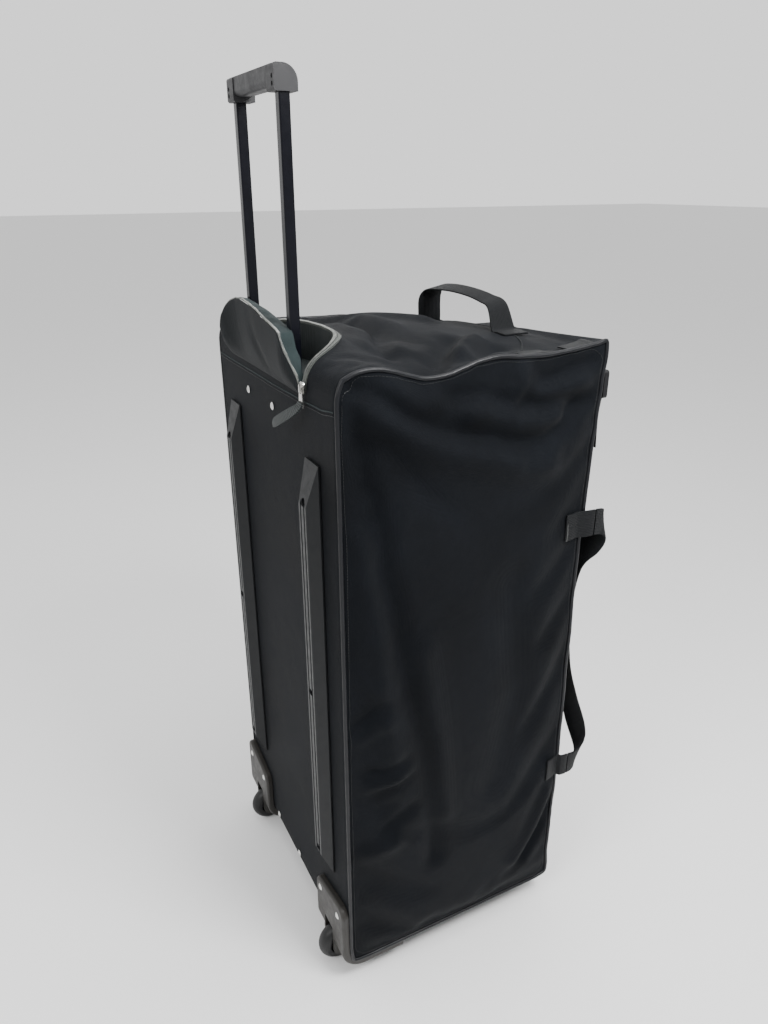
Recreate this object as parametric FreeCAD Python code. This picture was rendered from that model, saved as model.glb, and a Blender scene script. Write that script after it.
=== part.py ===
import FreeCAD, Part
import math
import os

# Large upright rolling duffel bag.
# +Z is up, the floor is Z = 0, and the origin is under the middle of the bag.
# The back, with the wheels and the telescopic handle, faces +Y. The zipped front faces -Y.
# "Left" pieces are on the -X side and "right" pieces are their mirror images. Lengths are in mm.

os.makedirs("parts", exist_ok=True)

# ---------------------------------------------------------------- driving dimensions
BAG_HALF_WIDTH = 214.0        # from the middle to the outer face of a side panel
BAG_HALF_DEPTH = 185.0        # from the middle to the front and back faces
BAG_BOTTOM = 39.0             # underside of the bag above the floor
BAG_TOP = 923.0               # flat top of the bag above the floor
CORNER_R = 26.0               # rounding of the bag's long cross edges
CLOTH_T = 2.5                 # coated cloth with its foam
PIPING_R = 2.5                # welt cord that edges each side panel

SEAM_Z = 878.0                # cross seam on the back, under the handle pocket's flap
SHOULDER_Z = BAG_TOP - CORNER_R
BELLY_Z = BAG_BOTTOM + CORNER_R
MAIN_ZIP_HALF = 12.0          # half the width of the front zip's tape

POCKET_HALF = 125.0           # handle pocket's mouth, half its width
POCKET_FRONT_Y = 108.0        # handle pocket's mouth, front edge
POCKET_FLOOR_Z = 879.6
LINING_T = 1.2

BOARD_T = 2.0                 # stiffener board behind the back panel
TUBE_X = 73.0                 # handle tubes, each side of the middle
TUBE_Y = 173.0
OUTER_TUBE = 15.0             # outer tube's outside size
OUTER_BORE = 13.2             # outer tube's inside size
INNER_TUBE = 12.7             # half-inch inner tube
INNER_BORE = 10.9
INNER_TUBE_BOTTOM = 742.0
BRACKET_HALF = 106.0
BRACKET_RIVETS_X = (-13.0, 84.0)

GRIP_HALF = 82.0              # half the grip's length
GRIP_BOTTOM = 1188.0
GRIP_H = 26.0
GRIP_BLOCK_L = 24.0           # length of each end block
GRIP_FRONT_Y = TUBE_Y - 14.5
GRIP_SPLIT_Y = TUBE_Y + 6.5    # joint between the front and back halves of the grip
GRIP_BACK_Y = TUBE_Y + 12.0

RAIL_X = 147.0                # skid rail's centre line
RAIL_BASE_W = 40.0
RAIL_RIDGE_W = 22.0
RAIL_H = 16.0
RAIL_BOTTOM = 178.0
RAIL_TOP = 805.0
RAIL_SCREWS_Z = (217.0, 488.0, 757.0)

WHEEL_X = 160.0
WHEEL_Y = 180.0
WHEEL_R = 32.0
WHEEL_W = 24.0
AXLE_R = 4.0
BEARING_R = 11.0
BEARING_W = 7.0
FORK_GAP = 28.0               # inside width of the wheel well
FORK_WALL = 3.5
HOUSING_OUT = 10.0            # how far the wheel housing stands out from the back
HOUSING_DOWN = 13.0           # how far it reaches under the bottom
HOUSING_INNER_X = 114.0
HOUSING_OUTER_X = 213.7
HOUSING_TOP = 150.0
HOUSING_FRONT_Y = 96.0

WEBBING_W = 38.0              # carry handle webbing
WEBBING_T = 2.6

NO_MOVE = FreeCAD.Vector(0, 0, 0)
X_AXIS = FreeCAD.Vector(1, 0, 0)
Y_AXIS = FreeCAD.Vector(0, 1, 0)
Z_AXIS = FreeCAD.Vector(0, 0, 1)


# ---------------------------------------------------------------- shared helpers
def vec(x, y, z):
    return FreeCAD.Vector(x, y, z)


def box(x0, x1, y0, y1, z0, z1):
    """Block between two corners."""
    return Part.makeBox(x1 - x0, y1 - y0, z1 - z0, vec(x0, y0, z0))


def mirrored(shape):
    """Copy on the other side of the bag."""
    return shape.mirror(NO_MOVE, X_AXIS)


def both_sides(shape):
    """The piece and its mirror image, as one group of separate solids."""
    return Part.makeCompound([shape, mirrored(shape)])


def save(name, shape):
    shape.exportStep("parts/" + name + ".step")


def save_pair(name, right_shape):
    """Write a right-hand piece and its left-hand mirror image as two nodes."""
    save(name + "_right", right_shape)
    save(name + "_left", mirrored(right_shape))


def rounded_rectangle(corner, along, up, width, height, radius):
    """Closed wire with four arcs. along and up are unit vectors in its plane."""
    centres = [(radius, radius), (width - radius, radius),
               (width - radius, height - radius), (radius, height - radius)]
    edges = []
    ends = []
    for number, (a, b) in enumerate(centres):
        start = math.radians(180 + 90 * number)
        points = []
        for turn in (0.0, 0.25 * math.pi, 0.5 * math.pi):
            a_arc = a + radius * math.cos(start + turn)
            b_arc = b + radius * math.sin(start + turn)
            points.append(corner + along * a_arc + up * b_arc)
        edges.append(Part.Arc(*points).toShape())
        ends.append((points[0], points[-1]))
    joined = []
    for number, edge in enumerate(edges):
        joined.append(edge)
        joined.append(Part.LineSegment(ends[number][1], ends[(number + 1) % 4][0]).toShape())
    return Part.Wire(joined)


def bag_profile(x, grow):
    """Bag's side outline at one X, made larger all round by grow."""
    corner = vec(x, -BAG_HALF_DEPTH - grow, BAG_BOTTOM - grow)
    width = 2 * (BAG_HALF_DEPTH + grow)
    height = BAG_TOP - BAG_BOTTOM + 2 * grow
    return rounded_rectangle(corner, Y_AXIS, Z_AXIS, width, height, CORNER_R + grow)


def bag_prism(x0, x1, grow):
    """The bag's side outline, pushed along X."""
    return Part.Face(bag_profile(x0, grow)).extrude(vec(x1 - x0, 0, 0))


def cylinder_y(x, y0, y1, z, radius):
    return Part.makeCylinder(radius, y1 - y0, vec(x, y0, z), Y_AXIS)


def cylinder_x(x0, x1, y, z, radius):
    return Part.makeCylinder(radius, x1 - x0, vec(x0, y, z), X_AXIS)


def filleted(shape, radius, wanted):
    """Round the edges whose middle point passes the test."""
    edges = [edge for edge in shape.Edges if wanted(edge.BoundBox.Center)]
    return shape.makeFillet(radius, edges)


def band_through(stations, width, thickness):
    """Webbing lofted through stations of (centre, direction of width, direction of thickness)."""
    sections = []
    for centre, across, normal in stations:
        half_w = across.normalize() * (width / 2)
        half_t = normal.normalize() * (thickness / 2)
        corners = [centre - half_w - half_t, centre + half_w - half_t,
                   centre + half_w + half_t, centre - half_w + half_t]
        sections.append(Part.makePolygon(corners + corners[:1]))
    band = Part.makeLoft(sections, True, True)
    if band.Volume < 0:
        band.reverse()
    return band


# ---------------------------------------------------------------- rivet and screw places
def bracket_rivet_places():
    """(x, z) of the rivets that hold the upper and lower tube brackets."""
    upper = [(x, 838.0) for x in BRACKET_RIVETS_X]
    lower = [(x, 68.0) for x in BRACKET_RIVETS_X]
    return upper + lower


def housing_rivet_places():
    """(x, z) of the rivets of the right wheel housing."""
    return [(131.0, 117.0), (194.0, 124.0)]


def rivet_holes(places, radius):
    depth = 40.0
    front = BAG_HALF_DEPTH - depth
    holes = [cylinder_y(x, front, BAG_HALF_DEPTH + HOUSING_OUT + 5, z, radius) for x, z in places]
    return Part.makeCompound(holes)


def domed_rivet(x, z, y_face, head_r, head_h, shank_r, shank_l):
    """Rivet with a low domed head outside y_face and its shank inside."""
    ball_r = (head_r ** 2 + head_h ** 2) / (2 * head_h)
    ball = Part.makeSphere(ball_r, vec(x, y_face + head_h - ball_r, z))
    head = ball.common(cylinder_y(x, y_face, y_face + head_h + 1, z, head_r + 1))
    return head.fuse(cylinder_y(x, y_face - shank_l, y_face, z, shank_r))


RIVET_SHANK_R = 2.4
RIVET_HOLE_R = 2.45
SCREW_SHANK_R = 1.9
SCREW_HOLE_R = 1.95


def all_back_holes():
    """Every fastener hole through the back panel and its board."""
    holes = [rivet_holes(bracket_rivet_places(), RIVET_HOLE_R)]
    housing = rivet_holes(housing_rivet_places(), RIVET_HOLE_R)
    rail = rivet_holes([(RAIL_X, z) for z in RAIL_SCREWS_Z], SCREW_HOLE_R)
    for group in (housing, rail):
        holes.append(group)
        holes.append(mirrored(group))
    return Part.makeCompound(holes)


# ---------------------------------------------------------------- bag shell
def wheel_well_block(grow):
    """Space of one wheel well, from its walls' outer faces."""
    half = FORK_GAP / 2 + FORK_WALL + grow
    return box(WHEEL_X - half, WHEEL_X + half, WHEEL_Y - WHEEL_R - 8 - grow, BAG_HALF_DEPTH + 30,
               -5, 2 * WHEEL_R + 16 + grow)


def cloth_band():
    """Cloth that wraps front, top, back and bottom, before it is cut into panels."""
    outer = bag_prism(-BAG_HALF_WIDTH, BAG_HALF_WIDTH, 0)
    inner = bag_prism(-BAG_HALF_WIDTH - 1, BAG_HALF_WIDTH + 1, -CLOTH_T)
    band = outer.cut(inner)
    wells = both_sides(wheel_well_block(0.3))
    return band.cut(wells)


def pocket_mouth_plan(grow, height):
    """Prism of the handle pocket's mouth, a half oval in the top with the back face as its chord."""
    half = POCKET_HALF + grow
    reach = BAG_HALF_DEPTH - POCKET_FRONT_Y + grow
    oval = Part.Ellipse(vec(0, BAG_HALF_DEPTH, SEAM_Z), half, reach).toShape()
    front_part = Part.Face(Part.Wire([oval])).extrude(vec(0, 0, height))
    back_part = box(-half, half, BAG_HALF_DEPTH, BAG_HALF_DEPTH + 40, SEAM_Z, SEAM_Z + height)
    return front_part.fuse(back_part)


def back_panel(band):
    panel = band.common(box(-300, 300, 0, 300, BELLY_Z, SEAM_Z))
    return panel.cut(all_back_holes())


def top_panel(band):
    over_back = band.common(box(-300, 300, 0, 300, SEAM_Z, 1000))
    over_front = band.common(box(-300, 300, -300, 0, SHOULDER_Z, 1000))
    panel = over_back.fuse(over_front).removeSplitter()
    return panel.cut(pocket_mouth_plan(0, 100))


def bottom_panel(band):
    return band.common(box(-300, 300, -300, 300, 0, BELLY_Z))


def front_half_panel(band):
    """Right half of the front. The zip's tape fills the gap between the halves."""
    return band.common(box(MAIN_ZIP_HALF, 300, -300, 0, BELLY_Z, SHOULDER_Z))


def side_panel():
    """Flat cloth panel let into the right end of the band."""
    return bag_prism(BAG_HALF_WIDTH - CLOTH_T, BAG_HALF_WIDTH, -CLOTH_T)


def side_piping():
    """Round welt cord that runs all round the right side panel."""
    path = bag_profile(BAG_HALF_WIDTH + PIPING_R, -0.5)
    start = vec(BAG_HALF_WIDTH + PIPING_R, 0, BAG_BOTTOM + 0.5)
    section = Part.Wire(Part.makeCircle(PIPING_R, start, Y_AXIS))
    half_path_cutter = box(-400, 400, -400, 0, -100, 1100)
    ring_front = swept_half(path, section, half_path_cutter)
    other_cutter = box(-400, 400, 0, 400, -100, 1100)
    ring_back = swept_half(path, section, other_cutter)
    return ring_front.fuse(ring_back).removeSplitter()


def swept_half(path, section, half_space):
    """Sweep a round section along the part of a closed path inside a half space."""
    half_edges = path.common(half_space).Edges
    half_path = Part.Wire(Part.__sortEdges__(half_edges))
    return half_path.makePipeShell([section], True, True)


# ---------------------------------------------------------------- main zip on the front
MAIN_SLIDER_Z = 862.0


def main_zip_tape():
    """Zip tape between the front halves with its closed coil standing proud."""
    y_out = -BAG_HALF_DEPTH
    tape = box(-MAIN_ZIP_HALF, MAIN_ZIP_HALF, y_out, y_out + CLOTH_T, BELLY_Z, SHOULDER_Z)
    coil = box(-3, 3, y_out - 1.2, y_out, BELLY_Z + 12, SHOULDER_Z - 10)
    return tape.fuse(coil).removeSplitter()


def slider_body(length, width, height):
    """Zip slider lying in XZ with its channel face on Y = 0 and its bridge towards -Y."""
    plate = box(-width / 2, width / 2, -1.8, 0, -length / 2, length / 2)
    plate = filleted(plate, width * 0.3, lambda c: abs(c.x) > width * 0.4 and abs(c.z) > length * 0.4)
    bridge = box(-1.4, 1.4, -height, -1.8, -length * 0.32, length * 0.32)
    window = box(-2, 2, -height + 1.1, -1.8, -length * 0.18, length * 0.18)
    return plate.fuse(bridge.cut(window))


BRIDGE_WINDOW_Y = -2.95       # middle of the slider's bridge window, from its channel face


def pull_plate(length, top_w, bottom_w):
    """Tapered pull with its pivot bar at the origin, hanging down in the XZ plane."""
    half_t = 0.7
    bar_half = 0.8
    outline = Part.makePolygon([vec(-top_w / 2, -half_t, bar_half), vec(top_w / 2, -half_t, bar_half),
                                vec(bottom_w / 2, -half_t, -length),
                                vec(-bottom_w / 2, -half_t, -length),
                                vec(-top_w / 2, -half_t, bar_half)])
    plate = Part.Face(outline).extrude(vec(0, 2 * half_t, 0))
    eye = box(-1.9, 1.9, -2, 2, -7.0, -bar_half)
    hole = cylinder_y(0, -2, 2, -length + PULL_HOLE_UP, PULL_HOLE_R)
    return plate.cut(eye).cut(hole)


PULL_HOLE_UP = 4.8
PULL_HOLE_R = 2.4


def main_zip_slider():
    slider = slider_body(14.0, 10.0, 5.2)
    slider.translate(vec(0, -BAG_HALF_DEPTH - 1.5, MAIN_SLIDER_Z))
    return slider


def main_zip_pull():
    pull = pull_plate(26.0, 6.0, 9.0)
    pull.translate(vec(0, -BAG_HALF_DEPTH - 1.5 + BRIDGE_WINDOW_Y, MAIN_SLIDER_Z + 0.6))
    return pull


# ---------------------------------------------------------------- handle pocket
def pocket_lining():
    """Cloth tray that the grip drops into: a floor and a curved wall. The flap closes its back."""
    back = BAG_HALF_DEPTH - CLOTH_T - 0.3
    floor_z = POCKET_FLOOR_Z - LINING_T
    outer = pocket_mouth_plan(-0.1, 60).common(box(-200, 200, 0, back, floor_z, 1000))
    inner = pocket_mouth_plan(-0.1 - LINING_T, 60).common(box(-200, 200, 0, 300, POCKET_FLOOR_Z, 1000))
    well = outer.cut(inner).common(bag_prism(-200, 200, -0.5))
    hole_half = INNER_TUBE / 2 + 0.5
    hole = box(TUBE_X - hole_half, TUBE_X + hole_half, TUBE_Y - hole_half, TUBE_Y + hole_half,
               POCKET_FLOOR_Z - 3, POCKET_FLOOR_Z + 1)
    return well.cut(both_sides(hole))


def pocket_zip_tape():
    """Bound zip edge round the pocket's mouth, on the bag's side."""
    skin = bag_prism(-200, 200, 1.2).cut(bag_prism(-201, 201, 0))
    edge = pocket_mouth_plan(9.0, 100).cut(pocket_mouth_plan(0, 100))
    above = box(-200, 200, 0, 300, SEAM_Z + 8, 1000)
    return skin.common(edge).common(above)


def flap_shell(inner, outer):
    """Bulging upright sheet between two offsets from the back face."""
    def arc(offset):
        base = vec(-200, BAG_HALF_DEPTH + offset, SEAM_Z + 0.6)
        middle = vec(-200, BAG_HALF_DEPTH + offset + 14.0, SEAM_Z + 44.0)
        tip = vec(-200, BAG_HALF_DEPTH + offset + 3.5, SEAM_Z + 92.0)
        return Part.Arc(base, middle, tip).toShape()
    near = arc(outer)
    far = arc(inner)
    ends = [Part.LineSegment(near.Vertexes[n].Point, far.Vertexes[n].Point).toShape() for n in (0, 1)]
    wire = Part.Wire(Part.__sortEdges__([near, far] + ends))
    return Part.Face(wire).extrude(vec(400, 0, 0))


def flap_outline(inset):
    """Front view of the flap: straight sides and a broad rounded top."""
    half = POCKET_HALF - 1.5 - inset
    height = 90.0 - inset
    wire = rounded_rectangle(vec(-half, 100, SEAM_Z - 100), X_AXIS, Z_AXIS, 2 * half, height + 100,
                             68.0 - inset)
    return Part.Face(wire).extrude(vec(0, 200, 0))


def pocket_flap():
    return flap_shell(0.5, 2.5).common(flap_outline(10.0))


def flap_zip_tape():
    """Zip tape and coil that edge the flap."""
    band = flap_outline(0.0).cut(flap_outline(10.0))
    above = box(-200, 200, 0, 300, SEAM_Z + 8, 1100)
    return flap_shell(0.9, 2.1).common(band).common(above)


POCKET_SLIDER_X = -POCKET_HALF - 5.5
POCKET_SLIDER_Z = 888.0
POCKET_SLIDER_Y = BAG_HALF_DEPTH + 1.7
POCKET_PULL_L = 23.0


def pocket_zip_slider():
    """Slider parked at the lower left end of the pocket's zip, facing +Y."""
    slider = slider_body(14.5, 12.0, 5.2)
    slider.rotate(NO_MOVE, Z_AXIS, 180)
    slider.translate(vec(POCKET_SLIDER_X, POCKET_SLIDER_Y, POCKET_SLIDER_Z))
    return slider


def pocket_pull_bar():
    """Middle of the pocket pull's pivot bar."""
    return vec(POCKET_SLIDER_X, POCKET_SLIDER_Y - BRIDGE_WINDOW_Y, POCKET_SLIDER_Z + 0.6)


def pocket_zip_pull():
    pull = pull_plate(POCKET_PULL_L, 7.0, 12.5)
    pull.translate(pocket_pull_bar())
    return pull


def pocket_pull_tab():
    """Ribbed webbing folded through the hole of the pull and sewn to itself."""
    bar = pocket_pull_bar()
    hole_z = bar.z - POCKET_PULL_L + PULL_HOLE_UP
    pull_end = bar.z - POCKET_PULL_L
    tab = box(bar.x - 6, bar.x + 6, bar.y - 2.2, bar.y + 2.2, pull_end - 38, hole_z + 1.6)
    tab = filleted(tab, 1.5, lambda c: c.z < pull_end - 37 and abs(c.y - bar.y) > 1)
    fold = box(bar.x - 7, bar.x + 7, bar.y - 0.75, bar.y + 0.75, pull_end - 0.2, hole_z + 2)
    return tab.cut(fold).fuse(cylinder_y(bar.x, bar.y - 1, bar.y + 1, hole_z, PULL_HOLE_R - 0.1))


# ---------------------------------------------------------------- stiffeners
def back_board():
    y_back = BAG_HALF_DEPTH - CLOTH_T
    board = box(-196, 196, y_back - BOARD_T, y_back, BELLY_Z, SEAM_Z - 2)
    return board.cut(all_back_holes()).cut(both_sides(wheel_well_block(0.6)))


def base_board():
    z_base = BAG_BOTTOM + CLOTH_T
    board = box(-196, 196, -150, 132, z_base, z_base + BOARD_T)
    return filleted(board, 20.0, lambda c: abs(c.x) > 190 and (c.y > 130 or c.y < -148))


# ---------------------------------------------------------------- telescopic handle
def square_tube(size, bore, z0, z1):
    """Square tube on the right-hand handle axis."""
    half = size / 2
    hole = bore / 2
    outer = box(TUBE_X - half, TUBE_X + half, TUBE_Y - half, TUBE_Y + half, z0, z1)
    outer = filleted(outer, 1.6, lambda c: abs(c.x - TUBE_X) > half - 0.1
                     and abs(c.y - TUBE_Y) > half - 0.1)
    inner = box(TUBE_X - hole, TUBE_X + hole, TUBE_Y - hole, TUBE_Y + hole, z0 - 1, z1 + 1)
    return outer.cut(inner)


UPPER_BRACKET_Z = (820.0, POCKET_FLOOR_Z - LINING_T - 0.4)
LOWER_BRACKET_Z = (BELLY_Z, BELLY_Z + 30)
CATCH_Z = INNER_TUBE_BOTTOM - 10.0


def outer_tube():
    """Fixed tube with a hole where the catch pin snaps in at full reach."""
    tube = square_tube(OUTER_TUBE, OUTER_BORE, LOWER_BRACKET_Z[0] + 6, UPPER_BRACKET_Z[1] - 2)
    catch_hole = cylinder_y(TUBE_X, TUBE_Y - 10, TUBE_Y, CATCH_Z, 2.8)
    return tube.cut(catch_hole)


def tube_bracket(span, upper):
    """Moulded crosspiece that holds both outer tubes against the board."""
    z0, z1 = span
    back = BAG_HALF_DEPTH - CLOTH_T - BOARD_T
    block = box(-BRACKET_HALF, BRACKET_HALF, TUBE_Y - 13, back, z0, z1)
    block = filleted(block, 6.0, lambda c: abs(c.x) > BRACKET_HALF - 1 and c.y < TUBE_Y - 12)
    half = OUTER_TUBE / 2 + 0.05
    if upper:
        socket = box(TUBE_X - half, TUBE_X + half, TUBE_Y - half, TUBE_Y + half, z0 - 1, z1 - 2)
        throat_half = INNER_TUBE / 2 + 0.3
        throat = box(TUBE_X - throat_half, TUBE_X + throat_half, TUBE_Y - throat_half,
                     TUBE_Y + throat_half, z0, z1 + 1)
        socket = socket.fuse(throat)
    else:
        socket = box(TUBE_X - half, TUBE_X + half, TUBE_Y - half, TUBE_Y + half, z0 + 6, z1 + 1)
    waist = box(-TUBE_X + 16, TUBE_X - 16, TUBE_Y - 14, TUBE_Y - 4, z0 + 5, z1 - 5)
    block = block.cut(both_sides(socket)).cut(waist)
    return block.cut(rivet_holes(bracket_rivet_places(), RIVET_HOLE_R))


def bracket_rivets():
    rivets = []
    for x, z in bracket_rivet_places():
        rivets.append(domed_rivet(x, z, BAG_HALF_DEPTH, 5.2, 2.0, RIVET_SHANK_R, 14.0))
    return Part.makeCompound(rivets)


def inner_tube():
    """Sliding tube, drilled through for the two grip screws."""
    tube = square_tube(INNER_TUBE, INNER_BORE, INNER_TUBE_BOTTOM, GRIP_BOTTOM + 18)
    for x, z in screw_places():
        tube = tube.cut(cylinder_y(x, TUBE_Y - 10, TUBE_Y + 10, z, 1.2))
    return tube


def tube_catch():
    """Moulded plug in the foot of the inner tube, bored across for the catch pin."""
    foot_half = OUTER_BORE / 2 - 0.15
    stub_half = INNER_BORE / 2 - 0.02
    foot = box(TUBE_X - foot_half, TUBE_X + foot_half, TUBE_Y - foot_half, TUBE_Y + foot_half,
               INNER_TUBE_BOTTOM - 20, INNER_TUBE_BOTTOM)
    stub = box(TUBE_X - stub_half, TUBE_X + stub_half, TUBE_Y - stub_half, TUBE_Y + stub_half,
               INNER_TUBE_BOTTOM, INNER_TUBE_BOTTOM + 16)
    bore = cylinder_y(TUBE_X, TUBE_Y - 10, TUBE_Y + 4, CATCH_Z, 2.5)
    return foot.fuse(stub).cut(bore)


def catch_pin():
    """Domed pin that the catch spring pushes outwards."""
    tip_y = TUBE_Y - OUTER_BORE / 2 + 0.2
    rod = cylinder_y(TUBE_X, tip_y, tip_y + 6, CATCH_Z, 2.4)
    return filleted(rod, 1.5, lambda c: c.y < tip_y + 1)


def catch_spring():
    """Short coil spring behind the catch pin."""
    start_y = TUBE_Y - OUTER_BORE / 2 + 6.4
    length = 3.8
    coil_r = 1.7
    wire_r = 0.25
    helix = Part.makeHelix(1.2, length - 0.8, coil_r)
    section = Part.Wire(Part.makeCircle(wire_r, vec(coil_r, 0, 0), Y_AXIS))
    coil = Part.Wire(helix).makePipeShell([section], True, True)
    coil.rotate(NO_MOVE, X_AXIS, -90)
    coil.translate(vec(TUBE_X, start_y + 0.3, CATCH_Z))
    return coil


def grip_solid():
    """Whole grip before it is parted: a rounded bar between two end blocks."""
    top = GRIP_BOTTOM + GRIP_H
    block = box(GRIP_HALF - GRIP_BLOCK_L, GRIP_HALF, GRIP_FRONT_Y, GRIP_BACK_Y, GRIP_BOTTOM, top)
    block = filleted(block, 17.0, lambda c: c.y < GRIP_FRONT_Y + 1 and c.z > top - 1)
    block = filleted(block, 3.0, lambda c: c.y > GRIP_BACK_Y - 1 and abs(c.x - 70) < 1)
    bar = box(-GRIP_HALF + 10, GRIP_HALF - 10, GRIP_FRONT_Y + 2, GRIP_BACK_Y - 1, GRIP_BOTTOM + 5,
              top - 0.4)
    bar = filleted(bar, 14.0, lambda c: abs(c.x) < 1 and c.y < TUBE_Y and c.z > top - 1)
    bar = filleted(bar, 6.5, lambda c: abs(c.x) < 1 and c.z < GRIP_BOTTOM + 6)
    return bar.fuse([block, mirrored(block)])


def screw_places():
    """(x, z) of the grip screws on the right end block."""
    return [(GRIP_HALF - 6.5, GRIP_BOTTOM + 7.0), (GRIP_HALF - 6.5, GRIP_BOTTOM + 14.0)]


SCREW_SEAT_Y = GRIP_BACK_Y - 3.0
SCREW_TIP_Y = TUBE_Y - 8.0


def grip_cutters():
    """Tube sockets, screw bores and screw head recesses of both ends."""
    half = INNER_TUBE / 2 + 0.03
    socket = box(TUBE_X - half, TUBE_X + half, TUBE_Y - half, TUBE_Y + half,
                 GRIP_BOTTOM - 1, GRIP_BOTTOM + 18)
    cutters = [socket]
    for x, z in screw_places():
        cutters.append(cylinder_y(x, SCREW_TIP_Y, GRIP_BACK_Y + 5, z, 1.2))
        cutters.append(cylinder_y(x, SCREW_SEAT_Y, GRIP_BACK_Y + 5, z, 2.4))
    group = Part.makeCompound(cutters)
    return Part.makeCompound([group, mirrored(group)])


def grip_half(front):
    if front:
        keep = box(-200, 200, 0, GRIP_SPLIT_Y, 1100, 1300)
    else:
        keep = box(-200, 200, GRIP_SPLIT_Y, 300, 1100, 1300)
    return grip_solid().cut(grip_cutters()).common(keep)


def grip_screws():
    screws = []
    for x, z in screw_places():
        head = cylinder_y(x, SCREW_SEAT_Y, SCREW_SEAT_Y + 1.6, z, 2.3)
        slot = box(x - 0.4, x + 0.4, SCREW_SEAT_Y + 0.8, SCREW_SEAT_Y + 2, z - 3, z + 3)
        shank = cylinder_y(x, SCREW_TIP_Y + 0.5, SCREW_SEAT_Y, z, 1.15)
        screws.append(head.cut(slot).fuse(shank))
    group = Part.makeCompound(screws)
    return Part.makeCompound([group, mirrored(group)])


# ---------------------------------------------------------------- skid rails
def skid_rail():
    """Ribbed strip with sloped sides and sloped ends, screwed to the back."""
    y0 = BAG_HALF_DEPTH
    base = RAIL_BASE_W / 2
    ridge = RAIL_RIDGE_W / 2
    section = Part.makePolygon([vec(RAIL_X - base, y0, 0), vec(RAIL_X + base, y0, 0),
                                vec(RAIL_X + base, y0 + 2, 0), vec(RAIL_X + ridge, y0 + RAIL_H, 0),
                                vec(RAIL_X - ridge, y0 + RAIL_H, 0), vec(RAIL_X - base, y0 + 2, 0),
                                vec(RAIL_X - base, y0, 0)])
    rail = Part.Face(section).extrude(vec(0, 0, RAIL_TOP - RAIL_BOTTOM))
    rail.translate(vec(0, 0, RAIL_BOTTOM))
    side = Part.makePolygon([vec(0, y0, RAIL_BOTTOM), vec(0, y0 + 2, RAIL_BOTTOM),
                             vec(0, y0 + RAIL_H, RAIL_BOTTOM + 32), vec(0, y0 + RAIL_H, RAIL_TOP - 52),
                             vec(0, y0 + 2, RAIL_TOP), vec(0, y0, RAIL_TOP), vec(0, y0, RAIL_BOTTOM)])
    rail = rail.common(Part.Face(side).extrude(vec(300, 0, 0)))
    for offset in (-5.2, 5.2):
        groove = box(RAIL_X + offset - 1.6, RAIL_X + offset + 1.6, y0 + RAIL_H - 1.6, y0 + RAIL_H + 1,
                     RAIL_BOTTOM, RAIL_TOP)
        rail = rail.cut(groove)
    for z in RAIL_SCREWS_Z:
        rail = rail.cut(cylinder_y(RAIL_X, y0 + 6.0, y0 + 30, z, 5.0))
        rail = rail.cut(cylinder_y(RAIL_X, y0 - 1, y0 + 7, z, SCREW_HOLE_R))
    return rail


def rail_screws():
    screws = []
    y_seat = BAG_HALF_DEPTH + 6.0
    for z in RAIL_SCREWS_Z:
        head = filleted(cylinder_y(RAIL_X, y_seat, y_seat + 2.6, z, 4.2), 1.2,
                        lambda c: c.y > y_seat + 2)
        shank = cylinder_y(RAIL_X, y_seat - 14, y_seat, z, SCREW_SHANK_R)
        screws.append(head.fuse(shank))
    group = Part.makeCompound(screws)
    return Part.makeCompound([group, mirrored(group)])


# ---------------------------------------------------------------- wheels
def housing_wrap():
    """Moulded cover that wraps the bag's lower back corner, without its wheel well."""
    y_bag = BAG_HALF_DEPTH
    y_out = y_bag + HOUSING_OUT
    z_out = BAG_BOTTOM - HOUSING_DOWN
    r_out = CORNER_R + HOUSING_OUT
    wrap = rounded_rectangle(vec(HOUSING_INNER_X, -400, z_out), Y_AXIS, Z_AXIS,
                             400 + y_out, 600, r_out)
    wrap = Part.Face(wrap).extrude(vec(HOUSING_OUTER_X - HOUSING_INNER_X, 0, 0))
    wrap = wrap.common(box(0, 300, HOUSING_FRONT_Y, 300, 0, HOUSING_TOP))
    wrap = wrap.cut(bag_prism(0, 300, 0))
    sloped_top = Part.makePolygon([vec(0, 0, HOUSING_TOP - 34), vec(0, 0, 400), vec(300, 0, 400),
                                   vec(300, 0, HOUSING_TOP + 30), vec(HOUSING_OUTER_X, 0, HOUSING_TOP),
                                   vec(HOUSING_INNER_X, 0, HOUSING_TOP - 22),
                                   vec(0, 0, HOUSING_TOP - 34)])
    wrap = wrap.cut(Part.Face(sloped_top).extrude(vec(0, 300, 0)))
    y_mid = y_bag + HOUSING_OUT / 2
    wrap = filleted(wrap, 15.0, lambda c: c.z > HOUSING_TOP - 30 and abs(c.y - y_mid) < 2)
    return filleted(wrap, 4.5, lambda c: c.y > y_out - 4.0 and c.z > BELLY_Z)


def axle_ears():
    """Two ears that carry the axle, either side of the wheel."""
    ears = []
    for x0 in (WHEEL_X - FORK_GAP / 2 - FORK_WALL, WHEEL_X + FORK_GAP / 2):
        ear = cylinder_x(x0, x0 + FORK_WALL, WHEEL_Y, WHEEL_R, 15.0)
        web = box(x0, x0 + FORK_WALL, WHEEL_Y - 26, WHEEL_Y + 15, WHEEL_R, 74)
        ears.append(ear.fuse(web))
    return ears


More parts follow.
